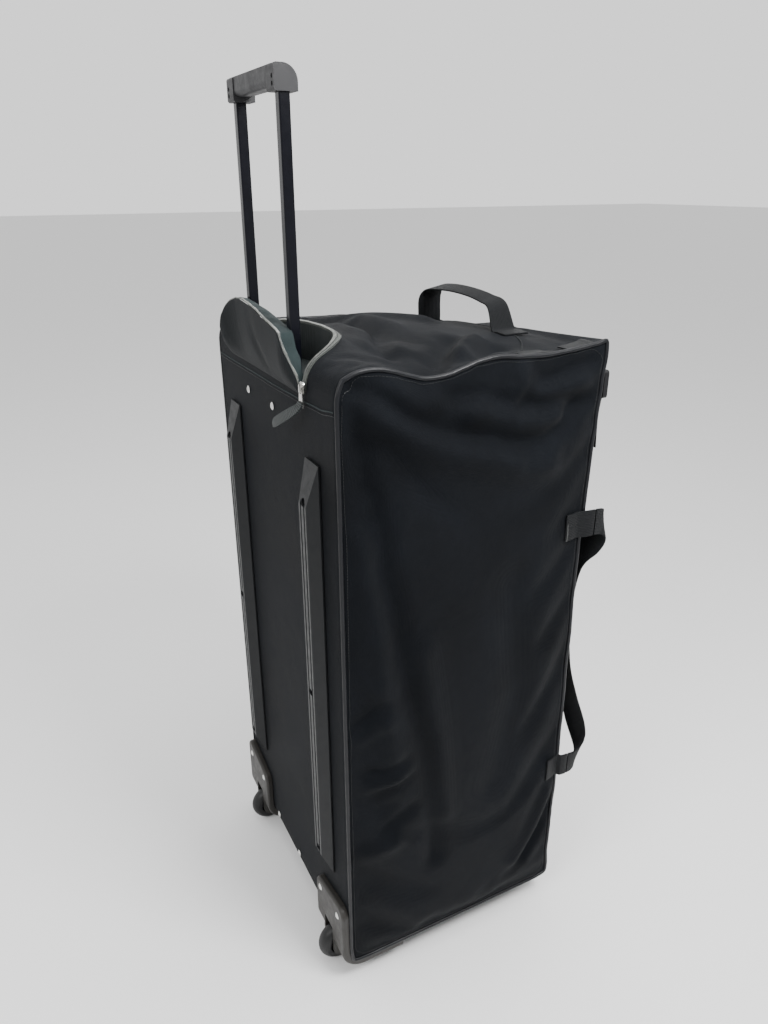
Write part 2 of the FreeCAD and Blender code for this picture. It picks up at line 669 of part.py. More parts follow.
def wheel_housing():
    """Housing with an open well for the wheel and bores for the axle and the rivets."""
    inside = wheel_well_block(0).common(bag_prism(0, 300, 0))
    housing = housing_wrap().fuse([inside] + axle_ears())
    half = FORK_GAP / 2
    well = box(WHEEL_X - half, WHEEL_X + half, WHEEL_Y - WHEEL_R - 4, 300, -10, 2 * WHEEL_R + 12)
    housing = housing.cut(well)
    axle_bore = cylinder_x(WHEEL_X - 40, WHEEL_X + 40, WHEEL_Y, WHEEL_R, AXLE_R + 0.05)
    head_room = cylinder_x(WHEEL_X + FORK_GAP / 2 + FORK_WALL, WHEEL_X + 40, WHEEL_Y, WHEEL_R, 9.0)
    nut_room = cylinder_x(WHEEL_X - 40, WHEEL_X - FORK_GAP / 2 - FORK_WALL, WHEEL_Y, WHEEL_R, 9.0)
    holes = rivet_holes(housing_rivet_places(), RIVET_HOLE_R)
    return housing.cut(axle_bore).cut(head_room).cut(nut_room).cut(holes)


def housing_rivets():
    rivets = []
    for x, z in housing_rivet_places():
        rivets.append(domed_rivet(x, z, BAG_HALF_DEPTH + HOUSING_OUT, 5.2, 2.0, RIVET_SHANK_R, 18.0))
    group = Part.makeCompound(rivets)
    return Part.makeCompound([group, mirrored(group)])


def revolved_about_axle(points):
    """Ring from (distance along X from the wheel's middle, radius) corners."""
    corners = [vec(WHEEL_X + a, WHEEL_Y, WHEEL_R + r) for a, r in points]
    face = Part.Face(Part.makePolygon(corners + corners[:1]))
    return face.revolve(vec(WHEEL_X, WHEEL_Y, WHEEL_R), X_AXIS, 360)


CORE_R = 20.0


def tyre():
    """Solid tyre with a crowned tread, moulded on the core."""
    half = WHEEL_W / 2
    shoulder = WHEEL_R - 8.0

    def point(a, r):
        return vec(WHEEL_X + a, WHEEL_Y, WHEEL_R + r)
    tread = Part.Arc(point(half, shoulder), point(0, WHEEL_R), point(-half, shoulder)).toShape()
    rest = Part.makePolygon([point(-half, shoulder), point(-half, CORE_R), point(half, CORE_R),
                             point(half, shoulder)])
    face = Part.Face(Part.Wire([tread] + rest.Edges))
    return face.revolve(vec(WHEEL_X, WHEEL_Y, WHEEL_R), X_AXIS, 360)


def wheel_core():
    """Hard core with a web and a seat for a bearing on each side."""
    half = WHEEL_W / 2
    seat = half - 2.0 - BEARING_W
    return revolved_about_axle([(-half, CORE_R - 2.5), (-half, CORE_R), (half, CORE_R),
                                (half, CORE_R - 2.5), (4.5, CORE_R - 4.5), (4.5, 14.0),
                                (half - 2, 13.0), (half - 2, BEARING_R), (seat, BEARING_R), (seat, 8.0),
                                (-seat, 8.0), (-seat, BEARING_R), (-half + 2, BEARING_R),
                                (-half + 2, 13.0), (-4.5, 14.0), (-4.5, CORE_R - 4.5)])


def wheel_bearings():
    half = WHEEL_W / 2 - 2.0
    rings = []
    for x0 in (WHEEL_X - half, WHEEL_X + half - BEARING_W):
        ring = cylinder_x(x0, x0 + BEARING_W, WHEEL_Y, WHEEL_R, BEARING_R)
        rings.append(ring.cut(cylinder_x(x0 - 1, x0 + 9, WHEEL_Y, WHEEL_R, AXLE_R + 0.05)))
    return Part.makeCompound(rings)


def axle():
    """Headed steel pin through both ears, peened over a washer on the inner side."""
    reach = FORK_GAP / 2 + FORK_WALL
    pin = cylinder_x(WHEEL_X - reach - 2, WHEEL_X + reach, WHEEL_Y, WHEEL_R, AXLE_R)
    head = cylinder_x(WHEEL_X + reach, WHEEL_X + reach + 2.5, WHEEL_Y, WHEEL_R, 7.0)
    head = filleted(head, 1.8, lambda c: c.x > WHEEL_X + reach + 2)
    tail = cylinder_x(WHEEL_X - reach - 2.5, WHEEL_X - reach, WHEEL_Y, WHEEL_R, 6.5)
    return pin.fuse([head, tail])


def axle_spacers():
    """Washers that keep the wheel in the middle of its well."""
    gap_start = WHEEL_W / 2 - 2.0
    washers = []
    for x0 in (WHEEL_X - FORK_GAP / 2 + 0.1, WHEEL_X + gap_start + 0.2):
        length = FORK_GAP / 2 - gap_start - 0.3
        ring = cylinder_x(x0, x0 + length, WHEEL_Y, WHEEL_R, 6.2)
        washers.append(ring.cut(cylinder_x(x0 - 1, x0 + 9, WHEEL_Y, WHEEL_R, AXLE_R + 0.05)))
    group = Part.makeCompound(washers)
    return Part.makeCompound([group, mirrored(group)])


# ---------------------------------------------------------------- feet
def front_foot():
    """Tapered moulded foot that keeps the bag upright."""
    bottom = rounded_rectangle(vec(132, -148, 0), X_AXIS, Y_AXIS, 40, 44, 8)
    top = rounded_rectangle(vec(122, -156, BAG_BOTTOM), X_AXIS, Y_AXIS, 60, 60, 12)
    return Part.makeLoft([bottom, top], True, True)


# ---------------------------------------------------------------- webbing
CARRY_PIVOT_X = BAG_HALF_WIDTH + 8.0
CARRY_PIVOT_Y = -BAG_HALF_DEPTH - 1.0
CARRY_UPPER_Z = 682.0
CARRY_LOWER_Z = 273.0


def carry_patches():
    """Two sewn ends of the right carry handle, each lifting over the piping."""
    flat_x = BAG_HALF_WIDTH + WEBBING_T / 2
    patches = []
    for z, back_y in ((CARRY_UPPER_Z, -140.0), (CARRY_LOWER_Z, -150.0)):
        stations = [(vec(flat_x, back_y, z), vec(0, 0, 1), vec(1, 0, 0)),
                    (vec(flat_x, -170.0, z), vec(0, 0, 1), vec(1, 0, 0)),
                    (vec(CARRY_PIVOT_X - 0.8, -180.5, z), vec(0, 0, 1), vec(1, 0.2, 0)),
                    (vec(CARRY_PIVOT_X, CARRY_PIVOT_Y + 1.8, z), vec(0, 0, 1), vec(1, 0, 0))]
        patches.append(band_through(stations, WEBBING_W, WEBBING_T))
    return Part.makeCompound(patches)


def carry_loop():
    """Slack webbing between the two sewn ends, hanging in front of the bag."""
    down = vec(0, 0, -1)
    x0 = CARRY_PIVOT_X
    front = CARRY_PIVOT_Y
    stations = [(vec(x0, front, CARRY_UPPER_Z), down, vec(1, 0, 0)),
                (vec(x0 - 1, front - 12, CARRY_UPPER_Z - 1), down, vec(1, -0.3, 0)),
                (vec(x0 - 8, front - 21, CARRY_UPPER_Z - 12), vec(0.35, -0.2, -1), vec(1, -1, -0.2)),
                (vec(x0 - 20, front - 19, CARRY_UPPER_Z - 40), vec(1, -0.1, -0.7), vec(0.3, -1, 0)),
                (vec(x0 - 32, front - 9, 600), vec(1, 0, -0.15), vec(0, -1, 0)),
                (vec(x0 - 36, front - 7, 478), vec(1, 0, 0), vec(0, -1, 0)),
                (vec(x0 - 31, front - 11, 400), vec(1, -0.1, 0.1), vec(0.1, -1, 0.1)),
                (vec(x0 - 21, front - 30, 330), vec(1, -0.2, 0.5), vec(0.3, -1, 0.3)),
                (vec(x0 - 9, front - 34, 294), vec(0.6, 0, 1), vec(1, -1, 0)),
                (vec(x0 - 1, front - 15, CARRY_LOWER_Z + 2), vec(0.1, 0, 1), vec(1, -0.3, 0)),
                (vec(x0, front, CARRY_LOWER_Z), vec(0, 0, 1), vec(1, 0, 0))]
    return band_through(stations, WEBBING_W, WEBBING_T)


GRAB_Y = -110.0


def grab_handle():
    """Top handle: one length of webbing, sewn flat at both ends and arched between."""
    z_flat = BAG_TOP + WEBBING_T / 2
    rise = 34.0
    stations = [(vec(-103, GRAB_Y, z_flat), vec(0, 1, 0), vec(0, 0, 1)),
                (vec(-84, GRAB_Y, z_flat), vec(0, 1, 0), vec(0, 0, 1))]
    steps = 8
    for step in range(steps + 1):
        turn = math.pi * step / steps
        x = -78 * math.cos(turn)
        z = z_flat + 2 + (rise - 2) * math.sin(turn) ** 0.8
        normal = vec(-math.cos(turn) * 0.75, 0, math.sin(turn) + 0.15)
        stations.append((vec(x, GRAB_Y, z), vec(0, 1, 0), normal))
    stations.append((vec(84, GRAB_Y, z_flat), vec(0, 1, 0), vec(0, 0, 1)))
    stations.append((vec(103, GRAB_Y, z_flat), vec(0, 1, 0), vec(0, 0, 1)))
    return band_through(stations, WEBBING_W, WEBBING_T)


def top_patch():
    """Reinforcing webbing sewn on the top beside the right side seam."""
    patch = box(184, BAG_HALF_WIDTH, -102, -56, BAG_TOP, BAG_TOP + 2.2)
    return filleted(patch, 5.0, lambda c: c.x < 185 and (c.y < -101 or c.y > -57))


STRAP_X = 194.0
STRAP_W = 25.0
STRAP_T = 2.0


def compression_strap():
    """Narrow strap sewn over the top front edge, with its tail hanging on the front."""
    y_face = -BAG_HALF_DEPTH
    half = STRAP_W / 2
    over = bag_prism(STRAP_X - half, STRAP_X + half, STRAP_T)
    over = over.cut(bag_prism(STRAP_X - half - 1, STRAP_X + half + 1, 0))
    upper = over.common(box(0, 300, -300, -124.5, 872, 1000))
    lower = box(STRAP_X - half, STRAP_X + half, y_face - STRAP_T, y_face, 781, 860)
    return [upper, lower]


def buckle():
    """Two-bar ladder buckle that joins the strap's two lengths."""
    y_face = -BAG_HALF_DEPTH
    half = STRAP_W / 2 + 4
    frame = box(STRAP_X - half, STRAP_X + half, y_face - 7.5, y_face - 0.5, 848, 884)
    frame = filleted(frame, 4.0, lambda c: abs(c.x - STRAP_X) > half - 1 and abs(c.z - 866) > 17)
    inner_half = STRAP_W / 2 + 0.3
    upper_slot = box(STRAP_X - inner_half, STRAP_X + inner_half, y_face - 20, y_face + 5, 871, 880)
    lower_slot = box(STRAP_X - inner_half, STRAP_X + inner_half, y_face - 20, y_face + 5, 852, 861)
    relief = box(STRAP_X - inner_half, STRAP_X + inner_half, y_face - 3, y_face + 5, 840, 890)
    return frame.cut(upper_slot).cut(lower_slot).cut(relief)


# ---------------------------------------------------------------- write every node
def build():
    band = cloth_band()
    save("back_panel", back_panel(band))
    save("top_panel", top_panel(band))
    save("bottom_panel", bottom_panel(band))
    save_pair("front_panel", front_half_panel(band))
    save_pair("side_panel", side_panel())
    save_pair("piping", side_piping())
    save("main_zip_tape", main_zip_tape())
    save("main_zip_slider", main_zip_slider())
    save("main_zip_pull", main_zip_pull())
    save("pocket_lining", pocket_lining())
    save("pocket_zip_tape", pocket_zip_tape())
    save("pocket_flap", pocket_flap())
    save("flap_zip_tape", flap_zip_tape())
    save("pocket_zip_slider", pocket_zip_slider())
    save("pocket_zip_pull", pocket_zip_pull())
    save("pocket_pull_tab", pocket_pull_tab())
    save("back_board", back_board())
    save("base_board", base_board())
    save_pair("outer_tube", outer_tube())
    save("upper_tube_bracket", tube_bracket(UPPER_BRACKET_Z, True))
    save("lower_tube_bracket", tube_bracket(LOWER_BRACKET_Z, False))
    save("bracket_rivets", bracket_rivets())
    save_pair("inner_tube", inner_tube())
    save_pair("tube_catch", tube_catch())
    save("catch_pins", both_sides(catch_pin()))
    save("catch_springs", both_sides(catch_spring()))
    save("grip_front_half", grip_half(True))
    save("grip_back_half", grip_half(False))
    save("grip_screws", grip_screws())
    save_pair("skid_rail", skid_rail())
    save("rail_screws", rail_screws())
    save_pair("wheel_housing", wheel_housing())
    save("housing_rivets", housing_rivets())
    save_pair("tyre", tyre())
    save_pair("wheel_core", wheel_core())
    save_pair("wheel_bearings", wheel_bearings())
    save_pair("axle", axle())
    save("axle_spacers", axle_spacers())
    save_pair("front_foot", front_foot())
    save_pair("carry_patches", carry_patches())
    save_pair("carry_loop", carry_loop())
    save("grab_handle", grab_handle())
    save("top_patches", both_sides(top_patch()))
    strap_group = Part.makeCompound(compression_strap())
    save("compression_straps", both_sides(strap_group))
    save("strap_buckles", both_sides(buckle()))


build()
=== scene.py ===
import bmesh
import bpy
import math
from mathutils import Matrix, Vector


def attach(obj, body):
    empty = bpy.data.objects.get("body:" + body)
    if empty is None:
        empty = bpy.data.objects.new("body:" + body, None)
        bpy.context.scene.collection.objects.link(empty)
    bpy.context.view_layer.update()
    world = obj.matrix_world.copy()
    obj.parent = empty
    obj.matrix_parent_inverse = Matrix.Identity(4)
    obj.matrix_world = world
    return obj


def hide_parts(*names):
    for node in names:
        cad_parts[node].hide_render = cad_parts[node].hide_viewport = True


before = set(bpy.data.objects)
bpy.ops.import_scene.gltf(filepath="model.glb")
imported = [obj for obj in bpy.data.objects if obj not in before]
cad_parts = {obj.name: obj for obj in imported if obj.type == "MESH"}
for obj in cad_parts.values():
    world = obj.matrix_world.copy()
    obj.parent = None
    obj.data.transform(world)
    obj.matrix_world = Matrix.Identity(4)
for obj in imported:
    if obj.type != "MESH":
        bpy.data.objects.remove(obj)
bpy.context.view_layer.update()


# ------------------------------------------------------------ bag body
# The soft body: coated polyester cloth over thin foam, cut as panels and sewn into one bag.
# A box is cut into a fine grid, its long edges are rounded, the slumps and folds are pressed in,
# and a short cloth simulation lets the cloth between the seams settle. The seams stay put.
def alone(piece):
    """Select one piece and nothing else."""
    bpy.ops.object.select_all(action="DESELECT")
    piece.select_set(True)
    bpy.context.view_layer.objects.active = piece
    return piece


def fresh(name, add, **place):
    """A new primitive in its place, with its transform applied."""
    bpy.ops.object.select_all(action="DESELECT")
    add(**place)
    piece = bpy.context.object
    piece.name = name
    piece.data.name = name
    bpy.ops.object.transform_apply(location=True, rotation=True, scale=True)
    return piece


def copy_of(piece, name):
    """A copy with its own mesh."""
    alone(piece)
    bpy.ops.object.duplicate()
    twin = bpy.context.object
    twin.name = name
    twin.data.name = name
    return twin


def apply_all(piece):
    """Apply every modifier, in order."""
    alone(piece)
    for modifier in list(piece.modifiers):
        bpy.ops.object.modifier_apply(modifier=modifier.name)
    return piece


def pick(piece, kind, wanted):
    """In edit mode, select only what passes the test."""
    bpy.ops.mesh.select_mode(type=kind)
    bpy.ops.mesh.select_all(action="DESELECT")
    grid = bmesh.from_edit_mesh(piece.data)
    for item in {"VERT": grid.verts, "EDGE": grid.edges, "FACE": grid.faces}[kind]:
        if wanted(item):
            item.select_set(True)
    bmesh.update_edit_mesh(piece.data)


def runs_along(edge, axis):
    line = edge.verts[0].co - edge.verts[1].co
    return abs(line[axis]) > 0.9 * line.length


def cut_grid(piece, cuts):
    """Cut a box into a regular grid, with so many cuts along X, Y and Z."""
    alone(piece)
    bpy.ops.object.mode_set(mode="EDIT")
    for axis, number in enumerate(cuts):
        pick(piece, "EDGE", lambda edge: runs_along(edge, axis))
        bpy.ops.mesh.subdivide(number_cuts=number)
    bpy.ops.object.mode_set(mode="OBJECT")


def read_off(table, at):
    """Value at a place in a table of (place, value), joined by smooth steps."""
    if at <= table[0][0]:
        return table[0][1]
    for (a, low), (b, high) in zip(table, table[1:]):
        if at <= b:
            part = (at - a) / (b - a)
            return low + (high - low) * part * part * (3 - 2 * part)
    return table[-1][1]


def to_line(point, line):
    """Distance from a 2-D point to a line of points."""
    best = 1.0
    for a, b in zip(line, line[1:]):
        run = b - a
        part = max(0.0, min(1.0, (point - a).dot(run) / run.length_squared))
        best = min(best, (point - a - run * part).length)
    return best


HALF_W = 0.2145
HALF_D = 0.1840
LOW, HIGH = 0.0405, 0.9215
ROUND = 0.030
body = fresh("bag_body", bpy.ops.mesh.primitive_cube_add, size=1, location=(0, 0, (LOW + HIGH) / 2),
             scale=(2 * HALF_W, 2 * HALF_D, HIGH - LOW))
cut_grid(body, (41, 35, 85))

# how the top slumps, in metres: along Y at the left seam and the right seam, and the crown between
LEFT_SEAM = [(-0.19, 0.011), (-0.180, 0.007), (-0.163, 0.001), (-0.128, -0.003), (-0.091, -0.006),
             (-0.055, -0.004), (-0.020, -0.001), (0.008, -0.003), (0.028, -0.010), (0.046, -0.015),
             (0.078, -0.016), (0.101, -0.009), (0.121, -0.002), (0.137, 0.001), (0.150, 0.001),
             (0.164, 0.000), (0.185, 0.000)]
RIGHT_SEAM = [(-0.185, -0.034), (-0.10, -0.022), (0.0, -0.015), (0.10, -0.012), (0.185, -0.006)]
CROWN = [(-0.185, 0.006), (-0.15, 0.016), (-0.11, 0.022), (0.0, 0.024), (0.06, 0.018),
         (0.10, 0.011), (0.16, 0.004), (0.185, 0.0)]
# how far the front's side edges lean in, along Z
FRONT_LEAN = [(0.04, 0.008), (0.096, 0.014), (0.30, 0.012), (0.485, 0.014), (0.60, 0.016),
              (0.76, 0.012), (0.83, 0.009), (0.87, 0.006), (0.91, 0.002), (0.93, 0.0)]
# folds as (line, height, half width), with lines in (Y, Z) on the sides, (X, Y) on the top
# and (X, Z) on the front. Every height is then multiplied by the strength.
FOLD_STRENGTH = 2.1
LEFT_FOLDS = [
    ([(0.174, 0.909), (0.138, 0.891), (0.107, 0.874), (0.056, 0.850), (0.001, 0.830), (-0.043, 0.816),
      (-0.088, 0.812), (-0.117, 0.828), (-0.139, 0.847)], -0.0055, 0.009),
    ([(0.150, 0.878), (0.090, 0.846), (0.030, 0.818), (-0.043, 0.792), (-0.10, 0.788)], 0.0065, 0.022),
    ([(0.120, 0.905), (0.060, 0.885), (0.0, 0.868)], 0.0040, 0.014),
    ([(0.044, 0.889), (-0.025, 0.868), (-0.091, 0.857), (-0.162, 0.853)], -0.0050, 0.008),
    ([(0.020, 0.862), (-0.060, 0.843), (-0.110, 0.846)], 0.0050, 0.013),
    ([(-0.056, 0.909), (-0.052, 0.888), (-0.039, 0.868)], 0.0050, 0.008),
    ([(-0.081, 0.887), (-0.118, 0.893), (-0.159, 0.899)], -0.0050, 0.008),
    ([(-0.070, 0.878), (-0.110, 0.878), (-0.150, 0.880)], 0.0040, 0.009),
    ([(-0.060, 0.795), (-0.121, 0.791)], -0.0030, 0.008),
    ([(0.166, 0.880), (0.155, 0.812), (0.143, 0.751), (0.134, 0.698), (0.116, 0.613), (0.095, 0.503),
      (0.071, 0.414), (0.058, 0.303), (0.05, 0.20)], -0.0050, 0.013),
    ([(0.158, 0.727), (0.150, 0.646), (0.142, 0.587), (0.130, 0.495), (0.110, 0.38)], 0.0045, 0.017),
    ([(0.080, 0.560), (0.060, 0.430), (0.045, 0.280)], 0.0040, 0.020),
    ([(0.165, 0.469), (0.136, 0.498)], -0.0045, 0.008),
    ([(0.168, 0.445), (0.130, 0.470)], 0.0030, 0.009),
    ([(0.156, 0.385), (0.104, 0.397)], -0.0045, 0.008),
    ([(0.137, 0.351), (0.096, 0.369)], -0.0040, 0.007),
    ([(0.150, 0.362), (0.100, 0.382)], 0.0030, 0.008),
    ([(0.127, 0.284), (0.088, 0.312)], -0.0045, 0.009),
    ([(0.160, 0.250), (0.110, 0.262)], 0.0040, 0.010),
    ([(-0.126, 0.113), (-0.161, 0.161), (-0.180, 0.201)], -0.0050, 0.009),
    ([(-0.100, 0.120), (-0.140, 0.175), (-0.165, 0.230)], 0.0045, 0.012),
    ([(-0.06, 0.62), (-0.08, 0.45), (-0.05, 0.30)], -0.0030, 0.030),
]
RIGHT_FOLDS = [
    ([(0.160, 0.885), (0.080, 0.845), (-0.02, 0.820), (-0.12, 0.835)], -0.0060, 0.011),
    ([(0.150, 0.850), (0.060, 0.812), (-0.05, 0.795)], 0.0060, 0.020),
    ([(0.155, 0.760), (0.120, 0.560), (0.100, 0.380), (0.12, 0.22)], -0.0050, 0.015),
    ([(0.085, 0.620), (0.070, 0.430), (0.085, 0.260)], 0.0050, 0.020),
    ([(-0.080, 0.700), (-0.110, 0.520), (-0.090, 0.360)], -0.0050, 0.018),
    ([(-0.150, 0.180), (-0.090, 0.120)], -0.0050, 0.010),
    ([(0.150, 0.230), (0.090, 0.170)], -0.0050, 0.010),
    ([(-0.150, 0.760), (-0.090, 0.720)], 0.0045, 0.012),
]
TOP_FOLDS = [
    ([(-0.200, 0.060), (-0.150, 0.020), (-0.110, -0.020)], -0.0060, 0.016),
    ([(-0.205, 0.010), (-0.170, -0.030), (-0.150, -0.060)], -0.0070, 0.012),
    ([(-0.170, 0.005), (-0.120, -0.045)], 0.0060, 0.016),
    ([(-0.150, 0.110), (-0.040, 0.070), (0.060, 0.060)], 0.0040, 0.014),
    ([(-0.120, 0.060), (-0.020, 0.020), (0.090, 0.010)], 0.0050, 0.016),
    ([(-0.140, 0.085), (-0.030, 0.045), (0.070, 0.035)], -0.0045, 0.011),
    ([(0.030, -0.060), (0.110, -0.020), (0.170, 0.050)], 0.0050, 0.018),
    ([(0.080, -0.110), (0.160, -0.060)], -0.0050, 0.014),
]
FRONT_FOLDS = [
    ([(-0.160, 0.780), (-0.110, 0.620), (-0.120, 0.440)], 0.0050, 0.020),
    ([(0.130, 0.740), (0.150, 0.560), (0.120, 0.380)], 0.0050, 0.022),
    ([(-0.190, 0.240), (-0.110, 0.140)], -0.0050, 0.012),
    ([(0.180, 0.220), (0.100, 0.150)], -0.0050, 0.012),
    ([(-0.060, 0.860), (-0.130, 0.820)], -0.0045, 0.010),
    ([(0.070, 0.850), (0.150, 0.800)], -0.0045, 0.010),
]


def fold_depth(folds, a, b):
    """Sum of the folds' heights at one place on a panel."""
    here = Vector((a, b))
    total = 0.0
    for line, height, width in folds:
        far = to_line(here, line)
        if far < 3 * width:
            total += FOLD_STRENGTH * height * math.exp(-(far / width) ** 2)
    return total


for folds in (LEFT_FOLDS, RIGHT_FOLDS, TOP_FOLDS, FRONT_FOLDS):
    for number, (line, height, width) in enumerate(folds):
        folds[number] = ([Vector(point) for point in line], height, width)


def edge_fade(reach):
    """0 at a seam, 1 some way in from it."""
    part = max(0.0, min(1.0, reach / 0.022))
    return part * part * (3 - 2 * part)


def slumped(point):
    """Where one point of the straight box ends up on the well-used bag."""
    x, y, z = point
    a = abs(y) - (HALF_D - ROUND)
    b = abs(z - (LOW + HIGH) / 2) - ((HIGH - LOW) / 2 - ROUND)
    if a > 0 and b > 0:
        soft = 1.0 if y > 0 and z > 0.5 else 0.30 if z > 0.5 else 0.45
        k = 1 - soft + soft * max(a, b) / math.hypot(a, b)
        y = math.copysign(HALF_D - ROUND + a * k, y)
        z = (LOW + HIGH) / 2 + math.copysign((HIGH - LOW) / 2 - ROUND + b * k, z - (LOW + HIGH) / 2)
    part = (x + HALF_W) / (2 * HALF_W)
    drop = (1 - part) * read_off(LEFT_SEAM, y) + part * read_off(RIGHT_SEAM, y)
    crown = read_off(CROWN, y) * math.sin(math.pi * part) ** 0.9
    near_top = max(0.0, 1 - (HIGH - z) / 0.16) ** 1.6
    lean = read_off(FRONT_LEAN, z) * abs(x / HALF_W) ** 1.5
    near_front = max(0.0, min(1.0, (-y - 0.03) / 0.15)) ** 1.2
    out = Vector((x, y, z))
    in_y = edge_fade(HALF_D - abs(y))
    in_z = edge_fade(min(z - LOW, HIGH - z))
    in_x = edge_fade(HALF_W - abs(x))
    if x < -HALF_W + 1e-4:
        out.x -= fold_depth(LEFT_FOLDS, y, z) * in_y * in_z
    if x > HALF_W - 1e-4:
        out.x += fold_depth(RIGHT_FOLDS, y, z) * in_y * in_z
    if z > HIGH - 0.012 and y < 0.10:
        out.z += fold_depth(TOP_FOLDS, x, y) * in_x * in_y
    if y < -HALF_D + 0.008 and abs(x) > 0.015:
        out.y -= fold_depth(FRONT_FOLDS, x, z) * in_x * in_z
    out.z += (drop + crown) * near_top
    lip = math.hypot(x / 0.125, (y - 0.185) / 0.077) - 1
    if z > HIGH - 0.012 and y < 0.16:
        out.z += 0.008 * math.exp(-(lip / 0.20) ** 2) * min(1.0, (0.16 - y) / 0.035)
    out.y += lean * near_front
    return out


SIDE, TOP, BACK, FRONT, UNDER = range(5)


def panel_of(face):
    """Which cloth panel a face of the grid belongs to."""
    x, y, z = face.center
    if abs(face.normal.x) > 0.8:
        return SIDE
    if z < 0.066:
        return UNDER
    if y > 0 and z < 0.878:
        return BACK
    if z > 0.897 or y > 0:
        return TOP
    return FRONT


panels = [panel_of(face) for face in body.data.polygons]
for corner in body.data.vertices:
    corner.co = slumped(corner.co)
for face, panel in zip(body.data.polygons, panels):
    face.material_index = panel

held = body.vertex_groups.new(name="held")
seam_groups = [body.vertex_groups.new(name="seam_left"), body.vertex_groups.new(name="seam_right")]
around = {}
for face, panel in zip(body.data.polygons, panels):
    for number in face.vertices:
        around.setdefault(number, set()).add(panel == SIDE)
for number, kinds in around.items():
    here = body.data.vertices[number].co
    grip = 0.10
    if len(kinds) == 2:
        grip = 1.0
        seam_groups[here.x > 0].add([number], 1.0, "REPLACE")
    elif here.y > HALF_D - 0.012 or here.z < LOW + 0.012:
        grip = 1.0
    elif here.y < -0.17 and abs(here.x) < 0.016:
        grip = 1.0
    elif here.z > 0.90 and here.y > 0.08 and abs(here.x) < 0.15:
        grip = 0.9
    held.add([number], grip, "REPLACE")

SETTLE_STEPS = 20
MOST_MOVE = 0.012
before = [corner.co.copy() for corner in body.data.vertices]
cloth = alone(body).modifiers.new("settle", "CLOTH")
cloth.settings.quality = 5
cloth.settings.mass = 0.3
cloth.settings.tension_stiffness = 12
cloth.settings.compression_stiffness = 12
cloth.settings.shear_stiffness = 5
cloth.settings.bending_stiffness = 1.5
cloth.settings.shrink_min = -0.012
cloth.settings.use_pressure = True
cloth.settings.uniform_pressure_force = 1.2
cloth.settings.vertex_group_mass = "held"
cloth.settings.pin_stiffness = 1.0
cloth.settings.effector_weights.gravity = 0.15
cloth.point_cache.frame_start = 1
cloth.point_cache.frame_end = SETTLE_STEPS
for step in range(1, SETTLE_STEPS + 1):
    bpy.context.scene.frame_set(step)
apply_all(body)
for corner, start in zip(body.data.vertices, before):
    move = corner.co - start
    if move.length > MOST_MOVE:
        corner.co = start + move * (MOST_MOVE / move.length)
body.modifiers.new("fine", "SUBSURF").levels = 1
body.modifiers["fine"].render_levels = 1
apply_all(body)


# ------------------------------------------------------------ cloth finishes
# Coated polyester: a fine plain weave with a slight sheen, cloudy wear and an uneven dark tone.
# The weave is cut from the sine of all three coordinates, so it runs true on every flat panel.
def finish(name, colour, roughness, **sockets):
    """A new material with its plain settings on the shader's own sockets."""
    material = bpy.data.materials.new(name)
    material.use_nodes = True
    shader = material.node_tree.nodes["Principled BSDF"]
    shader.inputs["Base Color"].default_value = (*colour, 1)
    shader.inputs["Roughness"].default_value = roughness
    for socket, value in sockets.items():
        shader.inputs[socket.replace("_", " ")].default_value = value
    return material


def coat(piece, *finishes):
    """Give a piece these finishes and no others."""
    piece.data.materials.clear()
    for material in finishes:
        piece.data.materials.append(material)


def node(material, kind, settings=(), **wires):
    """Add a node. Wires give its inputs by position (i0, i1) as a number, a colour or an output."""
    new = material.node_tree.nodes.new(kind)
    for name, value in dict(settings).items():
        setattr(new, name, value)
    for key, value in wires.items():
        socket = new.inputs[int(key[1:])]
        if isinstance(value, bpy.types.NodeSocket):
            material.node_tree.links.new(value, socket)
        else:
            socket.default_value = value
    return new


def maths(material, operation, a, b=0.0, c=0.0):
    return node(material, "ShaderNodeMath", {"operation": operation}, i0=a, i1=b, i2=c).outputs[0]


def place(material):
    return node(material, "ShaderNodeTexCoord").outputs["Object"]


def noise(material, where, scale, detail=3.0, roughness=0.55):
    texture = node(material, "ShaderNodeTexNoise")
    material.node_tree.links.new(where, texture.inputs["Vector"])
    texture.inputs["Scale"].default_value = scale
    texture.inputs["Detail"].default_value = detail
    texture.inputs["Roughness"].default_value = roughness
    return texture.outputs["Fac"]


def ramp(material, value, stops):
    """Colour or grey by value. stops are (place, colour)."""
    band = node(material, "ShaderNodeValToRGB", i0=value)
    while len(band.color_ramp.elements) < len(stops):
        band.color_ramp.elements.new(0.5)
    for element, (at, colour) in zip(band.color_ramp.elements, stops):
        element.position = at
        element.color = (*colour, 1) if hasattr(colour, "__len__") else (colour, colour, colour, 1)
    return band.outputs["Color"]


def to_shader(material, socket, value):
    shader = material.node_tree.nodes["Principled BSDF"]
    material.node_tree.links.new(value, shader.inputs[socket])


def bumped(material, height, depth, strength=1.0, below=None):
    """A bump of so many metres, on top of another bump if there is one."""
    bump = node(material, "ShaderNodeBump")
    bump.inputs["Strength"].default_value = strength
    bump.inputs["Distance"].default_value = depth
    material.node_tree.links.new(height, bump.inputs["Height"])
    if below is not None:
        material.node_tree.links.new(below, bump.inputs["Normal"])
    to_shader(material, "Normal", bump.outputs["Normal"])
    return bump.outputs["Normal"]


def ridges(material, along, pitch):
    """Rounded ridges at a pitch, from the sine of one coordinate."""
    turn = maths(material, "MULTIPLY", along, math.pi / pitch)
    return maths(material, "ABSOLUTE", maths(material, "SINE", turn))


def weave_height(material, where, pitch):
    """Plain weave: ridges of the sine of X, Y and Z."""
    axes = node(material, "ShaderNodeSeparateXYZ", i0=where).outputs
    total = None
    for axis in axes:
        wave = ridges(material, axis, pitch)
        total = wave if total is None else maths(material, "MULTIPLY_ADD", wave, 1.0, total)
    return total


